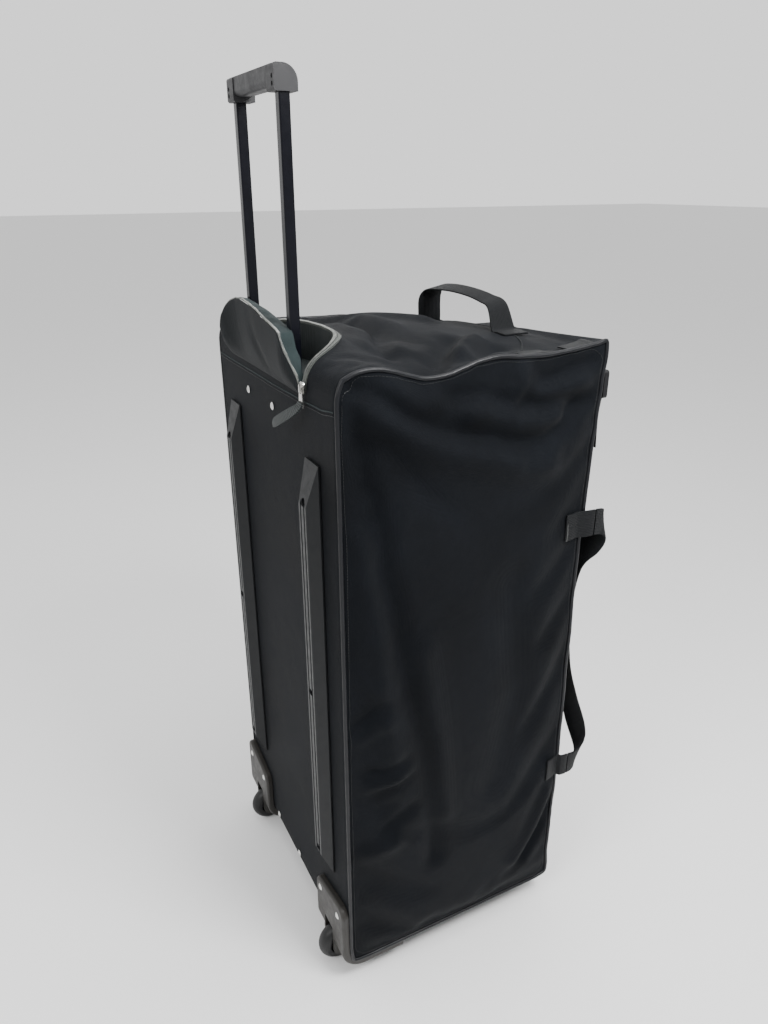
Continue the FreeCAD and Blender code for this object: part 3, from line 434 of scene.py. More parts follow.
def cloth_finish(name, dark, light, pitch=0.0011, sheen=0.06, roughness=0.62, specular=0.22):
    """Coated cloth between a dark and a light tone."""
    material = finish(name, dark, roughness, Sheen_Weight=sheen, Sheen_Roughness=0.45,
                      Specular_IOR_Level=specular)
    where = place(material)
    cloudy = noise(material, where, 9.0, 5.0, 0.6)
    grain = noise(material, where, 900.0, 2.0, 0.6)
    mixed = maths(material, "MULTIPLY_ADD", grain, 0.35, maths(material, "MULTIPLY", cloudy, 0.75))
    to_shader(material, "Base Color", ramp(material, mixed, [(0.30, dark), (0.72, light)]))
    rough = maths(material, "MULTIPLY_ADD", cloudy, 0.18, roughness - 0.10)
    to_shader(material, "Roughness", rough)
    soft = bumped(material, noise(material, where, 38.0, 4.0, 0.55), 0.0022, 0.55)
    bumped(material, weave_height(material, where, pitch), 0.00022, 0.8, soft)
    return material


side_cloth = cloth_finish("black_coated_cloth", (0.0014, 0.0018, 0.0026), (0.0046, 0.0056, 0.0076),
                          sheen=0.02, specular=0.05)
back_cloth = cloth_finish("back_coated_cloth", (0.0046, 0.0056, 0.0064), (0.0098, 0.0114, 0.0126), sheen=0.03,
                          specular=0.08)
top_cloth = cloth_finish("grey_green_cloth", (0.0085, 0.0140, 0.0150), (0.0190, 0.0290, 0.0300), sheen=0.05,
                         specular=0.10)
front_cloth = cloth_finish("front_coated_cloth", (0.0028, 0.0033, 0.0042), (0.0070, 0.0080, 0.0100),
                           sheen=0.02, specular=0.07)
under_cloth = cloth_finish("underside_cloth", (0.0030, 0.0032, 0.0036), (0.0070, 0.0074, 0.0080), sheen=0.03)
lining_cloth = cloth_finish("pocket_lining_cloth", (0.0030, 0.0042, 0.0046), (0.0300, 0.0390, 0.0390),
                            sheen=0.05, roughness=0.5)
coat(body, side_cloth, top_cloth, back_cloth, front_cloth, under_cloth)


# ------------------------------------------------------------ piping
# A round welt cord in smooth black vinyl, sewn into the seam all round each side panel.
# It is traced from the seam of the settled cloth, then given its round section.
def inside_group(piece, name, least=0.99):
    """Numbers of the vertices that belong to a group."""
    index = piece.vertex_groups[name].index
    return {v.index for v in piece.data.vertices
            if any(g.group == index and g.weight > least for g in v.groups)}


vinyl = finish("welt_vinyl", (0.004, 0.0045, 0.006), 0.36, Specular_IOR_Level=0.25)
vinyl_place = place(vinyl)
to_shader(vinyl, "Roughness", ramp(vinyl, noise(vinyl, vinyl_place, 60.0), [(0.3, 0.32), (0.7, 0.50)]))
bumped(vinyl, noise(vinyl, vinyl_place, 220.0), 0.0004, 0.5)
for side, sign in (("left", -1), ("right", 1)):
    cord = copy_of(body, "piping_cord_" + side)
    on_seam = inside_group(cord, "seam_" + side)
    bpy.ops.object.mode_set(mode="EDIT")
    pick(cord, "EDGE", lambda edge: all(v.index in on_seam for v in edge.verts))
    bpy.ops.mesh.select_all(action="INVERT")
    bpy.ops.mesh.delete(type="EDGE")
    pick(cord, "VERT", lambda corner: not corner.link_edges)
    bpy.ops.mesh.delete(type="VERT")
    bpy.ops.object.mode_set(mode="OBJECT")
    for corner in cord.data.vertices:
        corner.co.x += sign * 0.0016
    bpy.ops.object.convert(target="CURVE")
    cord.data.bevel_depth = 0.0027
    cord.data.bevel_resolution = 3
    bpy.ops.object.convert(target="MESH")
    coat(cord, vinyl)
    bpy.ops.object.shade_smooth()
    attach(cord, "bag")
    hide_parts("piping_" + side)


# ------------------------------------------------------------ handle pocket mouth
# A half oval opening in the top, cut down to the pocket's floor, with its woven binding tape.
# The lining is the wall of the cut. The binding is a skin of the bag's own surface.
MOUTH_HALF, MOUTH_REACH, BACK_Y = 0.125, 0.077, 0.185
POCKET_FLOOR = 0.8796


def oval_block(name, grow, low, high):
    """Upright oval block round the pocket's mouth."""
    return fresh(name, bpy.ops.mesh.primitive_cylinder_add, vertices=128, radius=1, depth=1,
                 location=(0, BACK_Y, (low + high) / 2),
                 scale=(MOUTH_HALF + grow, MOUTH_REACH + grow, high - low))


def boolean(piece, other, operation):
    """Cut or keep the piece with another, which is then removed."""
    modifier = alone(piece).modifiers.new("cut", "BOOLEAN")
    modifier.operation = operation
    modifier.object = other
    modifier.solver = "EXACT"
    modifier.material_mode = "TRANSFER"
    bpy.ops.object.modifier_apply(modifier="cut")
    bpy.data.objects.remove(other, do_unlink=True)


def swollen(piece, name, by):
    """A copy grown or shrunk along its normals."""
    twin = copy_of(piece, name)
    bpy.ops.object.mode_set(mode="EDIT")
    bpy.ops.mesh.select_all(action="SELECT")
    bpy.ops.transform.shrink_fatten(value=by)
    bpy.ops.object.mode_set(mode="OBJECT")
    return twin


skin = copy_of(body, "skin")
binding = swollen(body, "mouth_binding", 0.0014)
core = swollen(body, "core", -0.0016)
ring = oval_block("ring", 0.0090, 0.8860, 1.1)
boolean(ring, oval_block("hole", -0.0006, 0.80, 1.2), "DIFFERENCE")
boolean(binding, ring, "INTERSECT")
boolean(binding, core, "DIFFERENCE")
tape_finish = finish("olive_binding_tape", (0.036, 0.042, 0.036), 0.7, Sheen_Weight=0.1)
tape_place = place(tape_finish)
to_shader(tape_finish, "Base Color", ramp(tape_finish, noise(tape_finish, tape_place, 500.0, 3.0),
                                          [(0.3, (0.028, 0.033, 0.028)), (0.7, (0.058, 0.066, 0.056))]))
bumped(tape_finish, weave_height(tape_finish, tape_place, 0.0009), 0.0003, 0.8)
coat(binding, tape_finish)
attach(binding, "bag")
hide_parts("pocket_zip_tape")

mouth = oval_block("mouth", 0.0, POCKET_FLOOR, 1.1)
mouth.data.materials.append(lining_cloth)
boolean(body, mouth, "DIFFERENCE")
for sign in (-1, 1):
    well = fresh("well", bpy.ops.mesh.primitive_cube_add, size=1,
                 location=(sign * 0.160, 0.190, 0.030), scale=(0.0358, 0.1006, 0.1006))
    boolean(body, well, "DIFFERENCE")
alone(body)
bpy.ops.object.shade_smooth_by_angle(angle=math.radians(50))
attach(body, "bag")
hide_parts("back_panel", "top_panel", "bottom_panel", "front_panel_left", "front_panel_right",
            "side_panel_left", "side_panel_right", "pocket_lining")


# ------------------------------------------------------------ webbing
# Woven nylon strap for the carry handles, the grab handle, the patches and the straps.
# Each is a flat grid laid along its run, given its thickness and soft edges. UVs are in metres.
def smooth_run(stops, gap):
    """Points of a smooth curve through the stops, about a gap apart."""
    run = []
    last = len(stops) - 1
    for number in range(last):
        p0, p1, p2, p3 = (stops[min(max(number + k, 0), last)][0] for k in (-1, 0, 1, 2))
        steps = max(2, int((p2 - p1).length / gap))
        for step in range(steps + (number == last - 1)):
            t = step / steps
            centre = 0.5 * (2 * p1 + (p2 - p0) * t + (2 * p0 - 5 * p1 + 4 * p2 - p3) * t * t
                            + (3 * p1 - p0 - 3 * p2 + p3) * t ** 3)
            across = stops[number][1].normalized().lerp(stops[number + 1][1].normalized(), t)
            outward = stops[number][2].normalized().lerp(stops[number + 1][2].normalized(), t)
            share = stops[number][3] * (1 - t) + stops[number + 1][3] * t
            run.append((centre, across.normalized() * share, outward.normalized()))
    return run


def give_wall(piece, thick):
    """Thickness, half to each side of the sheet."""
    wall = piece.modifiers.new("wall", "SOLIDIFY")
    wall.thickness = thick
    wall.offset = 0


def face_outwards(piece, merge=0.0):
    """Merge corners closer than so much, if any, and turn every face outwards."""
    alone(piece)
    bpy.ops.object.mode_set(mode="EDIT")
    bpy.ops.mesh.select_all(action="SELECT")
    if merge:
        bpy.ops.mesh.remove_doubles(threshold=merge)
    bpy.ops.mesh.normals_make_consistent(inside=False)
    bpy.ops.object.mode_set(mode="OBJECT")


def webbing(name, stops, width, thick, gap=0.004, crown=0.0003):
    """Strap laid along stops of (centre, across, outward), then a share of its width if not 1."""
    stops = [(*(Vector(part) for part in stop[:3]), stop[3] if len(stop) > 3 else 1.0) for stop in stops]
    run = smooth_run(stops, gap)
    strap = fresh(name, bpy.ops.mesh.primitive_grid_add, x_subdivisions=8,
                  y_subdivisions=len(run) - 1, size=1)
    along = [0.0]
    for (here, *_), (there, *_) in zip(run, run[1:]):
        along.append(along[-1] + (there - here).length)
    rows = [round((corner.co.y + 0.5) * (len(run) - 1)) for corner in strap.data.vertices]
    sides = [corner.co.x for corner in strap.data.vertices]
    for corner, row, side in zip(strap.data.vertices, rows, sides):
        centre, across, outward = run[row]
        corner.co = centre + across * (side * width) - outward * (crown * 4 * side * side)
    for loop, place_uv in zip(strap.data.loops, strap.data.uv_layers[0].data):
        place_uv.uv = (sides[loop.vertex_index] * width, along[rows[loop.vertex_index]])
    give_wall(strap, thick)
    edge = strap.modifiers.new("edge", "BEVEL")
    edge.width = thick * 0.3
    edge.segments = 2
    edge.limit_method = "ANGLE"
    apply_all(strap)
    face_outwards(strap)
    bpy.ops.object.shade_smooth_by_angle(angle=math.radians(40))
    return strap


def uv_axes(material):
    """A piece's own UVs, across and along the strap."""
    where = node(material, "ShaderNodeTexCoord").outputs["UV"]
    return node(material, "ShaderNodeSeparateXYZ", i0=where).outputs


def webbing_finish(name, dark, light, pitch=0.0024):
    """Nylon webbing: warp ribs along the strap with weft picks across them, following its UVs."""
    material = finish(name, dark, 0.55, Sheen_Weight=0.03, Sheen_Roughness=0.4, Specular_IOR_Level=0.12)
    axes = uv_axes(material)
    ribs = ridges(material, axes[0], pitch)
    slant = maths(material, "MULTIPLY_ADD", axes[0], 0.9, axes[1])
    picks = ridges(material, slant, 0.0016)
    height = maths(material, "MULTIPLY_ADD", picks, 0.5, ribs)
    highlight_speckle = noise(material, place(material), 700.0, 3.0)
    # Painted light: the weave's crests are coloured paler as highlight and its valleys darker as shade, with
    # a fine noise speckle of painted highlight.
    tone = maths(material, "MULTIPLY_ADD", height, 0.35, maths(material, "MULTIPLY", highlight_speckle, 0.5))
    to_shader(material, "Base Color", ramp(material, tone, [(0.25, dark), (0.85, light)]))
    bumped(material, height, 0.0006, 0.9)
    return material


strap_finish = webbing_finish("black_webbing", (0.0018, 0.0021, 0.0026), (0.0080, 0.0088, 0.0100))


def on_skin(point, lift):
    """Nearest place on the bag's cloth, lifted off it."""
    _, spot, facing, _ = skin.closest_point_on_mesh(Vector(point))
    return spot + facing * lift, facing


def finish_strap(strap, body_name, *nodes):
    coat(strap, strap_finish)
    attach(strap, body_name)
    if nodes:
        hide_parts(*nodes)


WEB = 0.038
THICK = 0.0024
PIVOT = Vector((0.222, -0.186, 0))
for side, sign in (("left", -1), ("right", 1)):
    ends = []
    for tag, height, inner in (("upper", 0.682, -0.136), ("lower", 0.273, -0.146)):
        stops = []
        for y in (inner, inner - 0.012, inner - 0.024):
            spot, _ = on_skin((sign * 0.216, y, height), THICK / 2 + 0.0004)
            stops.append((spot, (0, 0, 1), (sign, 0, 0)))
        stops.append(((sign * 0.2212, -0.1735, height), (0, 0, 1), (sign, 0.1, 0)))
        stops.append(((sign * PIVOT.x, -0.1845, height), (0, 0, 1), (sign, -0.05, 0)))
        patch = webbing("carry_patch_%s_%s" % (tag, side), stops, WEB, THICK)
        if tag == "upper":
            finish_strap(patch, "bag", "carry_patches_" + side)
        else:
            finish_strap(patch, "bag")
    loop_stops = [((0.2220, -0.1858, 0.682), (0, 0, -1), (1, 0, 0)),
                  ((0.2215, -0.1990, 0.680), (0, 0, -1), (1, -0.25, 0)),
                  ((0.2150, -0.2070, 0.667), (0.35, -0.2, -1), (1, -1, -0.2)),
                  ((0.2000, -0.2030, 0.640), (1, -0.1, -0.7), (0.3, -1, 0)),
                  ((0.1790, -0.1935, 0.600), (1, 0, -0.15), (0, -1, 0)),
                  ((0.1700, -0.1915, 0.520), (1, 0, 0), (0, -1, 0)),
                  ((0.1780, -0.1930, 0.440), (1, 0, 0.05), (0, -1, 0)),
                  ((0.1880, -0.2010, 0.385), (1, -0.1, 0.15), (0.1, -1, 0.1)),
                  ((0.2000, -0.2130, 0.330), (1, -0.2, 0.5), (0.3, -1, 0.3)),
                  ((0.2125, -0.2160, 0.294), (0.6, 0, 1), (1, -1, 0)),
                  ((0.2210, -0.2010, 0.275), (0.1, 0, 1), (1, -0.3, 0)),
                  ((0.2220, -0.1858, 0.273), (0, 0, 1), (1, 0, 0))]
    flipped = [tuple((sign * part[0], part[1], part[2]) for part in stop) for stop in loop_stops]
    loop = webbing("carry_loop_cloth_" + side, flipped, WEB, THICK)
    finish_strap(loop, "carry_handle_" + side, "carry_loop_" + side)

    spots = [on_skin((sign * (0.1835 + 0.0075 * step), -0.079, 0.925), 0.0012) for step in range(5)]
    patch = webbing("top_patch_" + side, [(spot, (0, 1, 0), facing) for spot, facing in spots],
                    0.046, 0.0018)
    finish_strap(patch, "bag")
    if side == "left":
        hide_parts("top_patches")

GRAB_Y = -0.110
grab_stops = []
for x in (0.116, 0.108, 0.101):
    spot, facing = on_skin((x, GRAB_Y + 0.002, 0.93), THICK / 2 + 0.0006)
    grab_stops.append((spot, (0, 1, 0), facing))
for x, y, z, lean, share in ((0.0985, -0.110, 0.9350, 1.4, 1.0), (0.0960, -0.111, 0.9470, 1.8, 0.95),
                             (0.0880, -0.112, 0.9560, 0.8, 0.80), (0.0650, -0.112, 0.9600, 0.12, 0.62),
                             (0.0300, -0.113, 0.9620, 0.02, 0.56), (-0.0100, -0.115, 0.9605, -0.04, 0.56),
                             (-0.0400, -0.118, 0.9560, -0.12, 0.62), (-0.0600, -0.122, 0.9490, -0.35, 0.80)):
    grab_stops.append(((x, y, z), (0, 1, -0.35 * (1 - share) / 0.44), (lean, 0, 1), share))
for x in (-0.076, -0.086, -0.097, -0.107):
    spot, facing = on_skin((x, -0.125, 0.93), THICK / 2 + 0.0010)
    grab_stops.append((spot, (0, 1, 0), facing))
grab = webbing("grab_handle_cloth", grab_stops, WEB, THICK)
finish_strap(grab, "bag", "grab_handle")

for side, sign in (("left", -1), ("right", 1)):
    x = sign * 0.194
    spots = [on_skin((x, y, z), 0.0014) for y, z in ((-0.126, 0.925), (-0.135, 0.925), (-0.146, 0.925),
                                                     (-0.158, 0.922), (-0.168, 0.917), (-0.176, 0.910),
                                                     (-0.181, 0.902))]
    stops = [(spot, (1, 0, 0), facing) for spot, facing in spots]
    stops += [((x, y, z), (1, 0, 0), (0, -1, 0))
              for y, z in ((-0.1868, 0.888), (-0.1890, 0.878), (-0.1875, 0.873))]
    upper = webbing("strap_upper_" + side, stops, 0.025, 0.0018)
    finish_strap(upper, "bag")
    tail = [((x, y, z), (1, 0, 0), (0, -1, 0))
            for y, z in ((-0.1875, 0.860), (-0.1892, 0.854), (-0.1870, 0.844), (-0.1852, 0.820))]
    tail.append(((x, -0.1870, 0.782), (1, 0, 0), (0, -1, 0.1)))
    lower = webbing("strap_lower_" + side, tail, 0.025, 0.0018)
    finish_strap(lower, "bag")
    if side == "left":
        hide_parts("compression_straps")


# ------------------------------------------------------------ pocket flap
# The flap that closes the handle pocket, in the same cloth as the back, standing open.
# Grids are fitted to its rounded outline and to the zip tape that curls inwards along its free edge.
FLAP_BASE = 0.8792
RIM = [(-0.1235, 0.1870, 0.8815), (-0.1150, 0.1885, 0.8985), (-0.1040, 0.1915, 0.9116),
       (-0.0940, 0.1945, 0.9240), (-0.0878, 0.1955, 0.9345), (-0.0835, 0.1955, 0.9410),
       (-0.0730, 0.1950, 0.9442), (-0.0460, 0.1940, 0.9482), (-0.0170, 0.1930, 0.9520),
       (0.0050, 0.1920, 0.9558), (0.0360, 0.1910, 0.9592), (0.0700, 0.1900, 0.9615),
       (0.0920, 0.1905, 0.9600), (0.1070, 0.1945, 0.9550), (0.1150, 0.1990, 0.9470),
       (0.1195, 0.2045, 0.9340), (0.1215, 0.2060, 0.9200), (0.1228, 0.2030, 0.9070),
       (0.1238, 0.1950, 0.8930), (0.1235, 0.1870, 0.8815)]
RIM = [Vector(point) for point in RIM]
RIM_REACH = [0.0]
for here, there in zip(RIM, RIM[1:]):
    RIM_REACH.append(RIM_REACH[-1] + (there - here).length)


def rim_at(u):
    """A place on the flap's free edge, from u = -1 at the near end to 1 at the far end."""
    at = (u + 1) / 2 * RIM_REACH[-1]
    for number in range(len(RIM) - 1):
        if at <= RIM_REACH[number + 1] + 1e-9:
            part = (at - RIM_REACH[number]) / (RIM_REACH[number + 1] - RIM_REACH[number])
            return RIM[number].lerp(RIM[number + 1], part)
    return RIM[-1]


def flap_at(u, v):
    """A place on the flap, u across and v up, both along the cloth."""
    base = Vector((u * 0.1235, 0.1868, FLAP_BASE))
    place_on = base.lerp(rim_at(u), v)
    place_on.y += 0.0070 * math.sin(math.pi * min(1.0, v * 0.92)) * (1 - u * u) ** 0.6
    place_on.y += 0.0014 * math.sin(7.0 * u + 2.0 * v) * math.sin(math.pi * v)
    place_on.y -= 0.0024 * math.exp(-((u + 0.25 - 0.35 * v) / 0.09) ** 2) * math.sin(math.pi * v)
    return place_on


flap = fresh("flap_cloth", bpy.ops.mesh.primitive_grid_add, x_subdivisions=72, y_subdivisions=26, size=1)
for corner in flap.data.vertices:
    corner.co = flap_at(2 * corner.co.x, corner.co.y + 0.5)
give_wall(flap, 0.0022)
apply_all(flap)
face_outwards(flap, merge=0.0002)
flap.modifiers.new("fine", "SUBSURF").levels = 1
apply_all(flap)
bpy.ops.object.shade_smooth()
coat(flap, back_cloth)
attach(flap, "pocket_flap")
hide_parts("pocket_flap")

BAND = [(-1.0, 0.003), (-0.88, 0.009), (-0.75, 0.015), (-0.55, 0.017), (-0.25, 0.015), (0.10, 0.010),
        (0.40, 0.007), (0.85, 0.007), (1.0, 0.003)]
flap_tape = fresh("flap_tape_cloth", bpy.ops.mesh.primitive_grid_add, x_subdivisions=90, y_subdivisions=6,
                  size=1)
for corner in flap_tape.data.vertices:
    u, v = 2 * corner.co.x * 0.995, corner.co.y + 0.5
    outwards = rim_at(u) - Vector((0, 0, 0.895))
    outwards.y = 0
    lie = Vector((0, -1, 0)) + outwards.normalized() * (0.34 - 0.30 * v)
    ripple = 0.0009 * math.sin(38 * u) * math.sin(math.pi * v)
    corner.co = rim_at(u) + lie.normalized() * (v * read_off(BAND, u)) + outwards.normalized() * ripple
give_wall(flap_tape, 0.0011)
apply_all(flap_tape)
face_outwards(flap_tape)
bpy.ops.object.shade_smooth_by_angle(angle=math.radians(40))
coat(flap_tape, top_cloth)
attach(flap_tape, "pocket_flap")
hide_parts("flap_zip_tape")


# ------------------------------------------------------------ zip coils and threads
# Nylon zip coils and sewing threads, which edge the pocket's mouth, the flap and the panels.
# One tooth or stitch is made, then set out along its line.
def drawn_line(name, points):
    """A curve object of straight runs through the points."""
    line = bpy.data.curves.new(name, "CURVE")
    line.dimensions = "3D"
    track = line.splines.new("POLY")
    track.points.add(len(points) - 1)
    for dot, point in zip(track.points, points):
        dot.co = (*point, 1)
    drawn = bpy.data.objects.new(name, line)
    bpy.context.scene.collection.objects.link(drawn)
    return drawn


def set_out(name, link, points, pitch, material, body_name):
    """Repeat a small link, which lies along X, at a pitch along a line of points."""
    length = 0.0
    for here, there in zip(points, points[1:]):
        length += (Vector(there) - Vector(here)).length
    guide = drawn_line(name + "_line", points)
    link.name = name
    link.data.name = name
    row = link.modifiers.new("row", "ARRAY")
    row.use_relative_offset = False
    row.use_constant_offset = True
    row.constant_offset_displace = (pitch, 0, 0)
    row.count = max(2, int(length / pitch))
    bend = link.modifiers.new("bend", "CURVE")
    bend.object = guide
    bend.deform_axis = "POS_X"
    apply_all(link)
    bpy.data.objects.remove(guide, do_unlink=True)
    coat(link, material)
    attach(link, body_name)
    return link


def stitch(length, thick):
    """One thread stitch lying along X from the origin, rounded down at both ends."""
    thread = fresh("stitch", bpy.ops.mesh.primitive_cylinder_add, vertices=6, radius=thick / 2,
                   depth=length, location=(length / 2, 0, 0), rotation=(0, math.pi / 2, 0))
    bpy.ops.object.mode_set(mode="EDIT")
    pick(thread, "FACE", lambda face: abs(face.normal.x) > 0.9)
    bpy.ops.mesh.inset(thickness=thick * 0.2)
    bpy.ops.transform.resize(value=(1.12, 0.7, 0.7), center_override=(length / 2, 0, 0))
    bpy.ops.object.mode_set(mode="OBJECT")
    return thread


def tooth(width, thick, depth):
    """One coil tooth lying across X."""
    link = fresh("tooth", bpy.ops.mesh.primitive_cube_add, size=1, scale=(thick, width, depth))
    bevel = link.modifiers.new("round", "BEVEL")
    bevel.width = thick * 0.3
    bevel.segments = 1
    return apply_all(link)


thread_finish = finish("dark_thread", (0.008, 0.009, 0.010), 0.5)
bumped(thread_finish, noise(thread_finish, place(thread_finish), 2500.0), 0.0002, 0.6)
pale_thread = finish("pale_thread", (0.060, 0.062, 0.060), 0.5)
bumped(pale_thread, noise(pale_thread, place(pale_thread), 2500.0), 0.0002, 0.6)
coil_finish = finish("zip_coil_nylon", (0.30, 0.31, 0.30), 0.38)
to_shader(coil_finish, "Base Color", ramp(coil_finish, noise(coil_finish, place(coil_finish), 120.0),
                                          [(0.3, (0.10, 0.105, 0.10)), (0.7, (0.19, 0.195, 0.18))]))
dark_coil = finish("dark_zip_coil", (0.008, 0.0085, 0.010), 0.35)
bumped(dark_coil, noise(dark_coil, place(dark_coil), 900.0), 0.0002, 0.4)


def oval_line(grow, lift, steps=90):
    """Line on the bag's cloth round the pocket's mouth, grown out from its edge."""
    points = []
    for z in (0.888, 0.893):
        points.append(on_skin((-MOUTH_HALF - grow, 0.190, z), lift)[0])
    for step in range(steps + 1):
        turn = math.pi * step / steps
        x = -(MOUTH_HALF + grow) * math.cos(turn)
        y = BACK_Y - 0.003 - (MOUTH_REACH + grow - 0.003) * math.sin(turn)
        guess = 0.8915 + math.sqrt(max(0.0, ROUND ** 2 - max(0.0, y - 0.154) ** 2)) + 0.006
        spot, _ = on_skin((x, y, guess), lift)
        points.append(spot)
    for z in (0.893, 0.888):
        points.append(on_skin((MOUTH_HALF + grow, 0.190, z), lift)[0])
    return points


set_out("pocket_coil", tooth(0.0034, 0.0009, 0.0016), oval_line(0.0006, 0.0012), 0.0014, coil_finish, "bag")
for number, grow in enumerate((0.0032, 0.0078)):
    row = set_out("binding_stitches_%d" % number, stitch(0.0026, 0.0007), oval_line(grow, 0.0017), 0.0036,
                  thread_finish, "bag")
flap_coil = set_out("flap_coil", tooth(0.0032, 0.0009, 0.0018),
                    [rim_at(-1 + 2 * step / 90) + Vector((0, -0.0005, 0.0006)) for step in range(91)],
                    0.0014, coil_finish, "pocket_flap")


CROSS_SEAM = [(-0.212, 0.8785), (-0.170, 0.8730), (-0.118, 0.8705), (0.0, 0.8680), (0.212, 0.8660)]


def across_back(below, lift):
    """Line across the back along the cross seam, or so far below it."""
    return [on_skin((x / 1000, 0.19, read_off(CROSS_SEAM, x / 1000) - below), lift)[0]
            for x in range(-210, 211, 6)]


row = set_out("cross_seam_stitches", stitch(0.0026, 0.0006), across_back(0.0045, 0.0003), 0.0036,
              thread_finish, "bag")


def inner_outline(sign, inset):
    """Line just inside a side panel's seam."""
    points = []
    half_d = HALF_D - inset
    low, high = LOW + inset, HIGH - inset
    corner_r = max(0.006, ROUND - inset)
    for centre_y, centre_z, start in ((half_d - corner_r, high - corner_r, 0),
                                      (-half_d + corner_r, high - corner_r, 90),
                                      (-half_d + corner_r, low + corner_r, 180),
                                      (half_d - corner_r, low + corner_r, 270)):
        for step in range(7):
            turn = math.radians(start + 15 * step)
            points.append((centre_y + corner_r * math.cos(turn), centre_z + corner_r * math.sin(turn)))
    points.append(points[0])
    dense = []
    for (y0, z0), (y1, z1) in zip(points, points[1:]):
        steps = max(1, int(math.hypot(y1 - y0, z1 - z0) / 0.010))
        for step in range(steps):
            part = step / steps
            y, z = y0 + (y1 - y0) * part, z0 + (z1 - z0) * part
            moved = slumped(Vector((sign * HALF_W * 0.9999, y, z)))
            dense.append(on_skin((sign * (HALF_W + 0.004), moved.y, moved.z), 0.0003)[0])
    dense.append(dense[0])
    return dense


for side, sign in (("left", -1), ("right", 1)):
    row = set_out("panel_stitches_" + side, stitch(0.0028, 0.0006), inner_outline(sign, 0.0075), 0.0040,
                  thread_finish, "bag")
    tack_points = [Vector((sign * 0.2185, -0.1385, 0.664 + 0.0025 * k)) for k in range(15)]
    tacks = [on_skin(point, THICK + 0.0004)[0] for point in tack_points]
    row = set_out("patch_tack_" + side, stitch(0.0026, 0.0011), tacks, 0.0027, pale_thread, "bag")


# ------------------------------------------------------------ top seam
# The front panel runs over the top's front corners and meets the top panel in one curved seam.
# A nearly straight one crosses the back below the flap. Each is a thin raised edge of folded cloth.
def curved_seam_y(x):
    return -0.139 + 0.092 * (abs(x) / 0.2145) ** 2.4


seam_line = [on_skin((x / 1000, curved_seam_y(x / 1000), 0.94), 0.0003)[0] for x in range(-212, 213, 4)]


def folded_edge(name, points, radius, material):
    """Thin raised edge of folded cloth along a line."""
    edge = drawn_line(name, points)
    edge.data.bevel_depth = radius
    edge.data.bevel_resolution = 2
    alone(edge)
    bpy.ops.object.convert(target="MESH")
    edge = bpy.context.object
    bpy.ops.object.shade_smooth()
    coat(edge, material)
    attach(edge, "bag")


folded_edge("top_seam_fold", seam_line, 0.0010, back_cloth)
folded_edge("cross_seam_fold", across_back(0.0, 0.0002), 0.0008, top_cloth)


# ------------------------------------------------------------ front zip
# Woven zip tape, sewn down the middle of the front, with its nylon coil closed. It is made as a strap,
# with one tooth set out down its middle. The slider and pull are CAD parts.
zip_tape = webbing("front_zip_tape", [((0, -0.1848, z / 1000), (1, 0, 0), (0, -1, 0))
                                      for z in range(60, 900, 40)], 0.026, 0.0009, gap=0.02, crown=0)
finish_strap(zip_tape, "bag", "main_zip_tape")
coil = set_out("front_zip_coil", tooth(0.0052, 0.0009, 0.0012),
               [(0, -0.18545, z / 1000) for z in range(76, 892, 8)], 0.0014, dark_coil, "bag")
for number, x in enumerate((-0.0105, 0.0105)):
    row = set_out("front_zip_stitches_%d" % number, stitch(0.0026, 0.0007),
                  [(x, -0.1855, z / 1000) for z in range(66, 896, 8)], 0.0036, thread_finish, "bag")


# ------------------------------------------------------------ pull tab
# Ribbed tape folded through the hole of the pocket zip's pull, hanging askew.
# It is made as a short strap, with its ribs across it.
tab = webbing("pull_tab_tape", [((-0.1305, 0.1905, 0.8720), (1, 0, 0), (0, 1, 0)),
                                ((-0.1285, 0.1925, 0.8665), (1, 0, 0.15), (0, 1, 0.2)),
                                ((-0.1200, 0.1980, 0.8590), (0.75, 0, 0.66), (0, 1, 0.4)),
                                ((-0.1060, 0.2035, 0.8500), (0.55, 0, 0.83), (0, 1, 0.4)),
                                ((-0.0880, 0.2065, 0.8400), (0.5, 0, 0.86), (0, 1, 0.2)),
                                ((-0.0770, 0.2060, 0.8335), (0.5, 0, 0.86), (-0.2, 1, 0.1), 0.45)],
              0.0120, 0.0034, gap=0.0015)
tab_finish = finish("ribbed_tab", (0.020, 0.024, 0.025), 0.6)
tab_ribs = ridges(tab_finish, uv_axes(tab_finish)[1], 0.0028)
# Painted light: the ribs' crests are coloured paler as highlight and their valleys darker as shade.
to_shader(tab_finish, "Base Color", ramp(tab_finish, tab_ribs, [(0.2, (0.0035, 0.0045, 0.0050)),
                                                                (0.8, (0.0220, 0.0290, 0.0290))]))
bumped(tab_finish, tab_ribs, 0.0012, 1.0)
coat(tab, tab_finish)
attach(tab, "pocket_pull")
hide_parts("pocket_pull_tab")


# ------------------------------------------------------------ hard parts
# The CAD's own metal and plastic parts, each given the finish of the real piece.
# Plastics are moulded with a fine grain, and metals are plated or drawn.
def paint(material, *names):
    for name in names:
        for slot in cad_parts[name].material_slots:
            slot.material = material


def both(name):
    return name + "_left", name + "_right"


def moulded(name, dark, light, roughness, grain=900.0, depth=0.00012, specular=0.5, wear=0.20):
    """Moulded plastic: fine grain, soft clouding and a few scuffs."""
    material = finish(name, dark, roughness, Specular_IOR_Level=specular)
    where = place(material)
    cloudy = noise(material, where, 14.0, 4.0)
    scuffs = noise(material, where, 90.0, 6.0, 0.7)
    mixed = maths(material, "MULTIPLY_ADD", scuffs, 0.3, maths(material, "MULTIPLY", cloudy, 0.7))
    to_shader(material, "Base Color", ramp(material, mixed, [(0.32, dark), (0.68, light)]))
    to_shader(material, "Roughness", ramp(material, scuffs, [(0.35, roughness - wear * 0.3),
                                                             (0.70, roughness + wear * 0.7)]))
    bumped(material, noise(material, where, grain, 2.0), depth, 0.6)
    return material


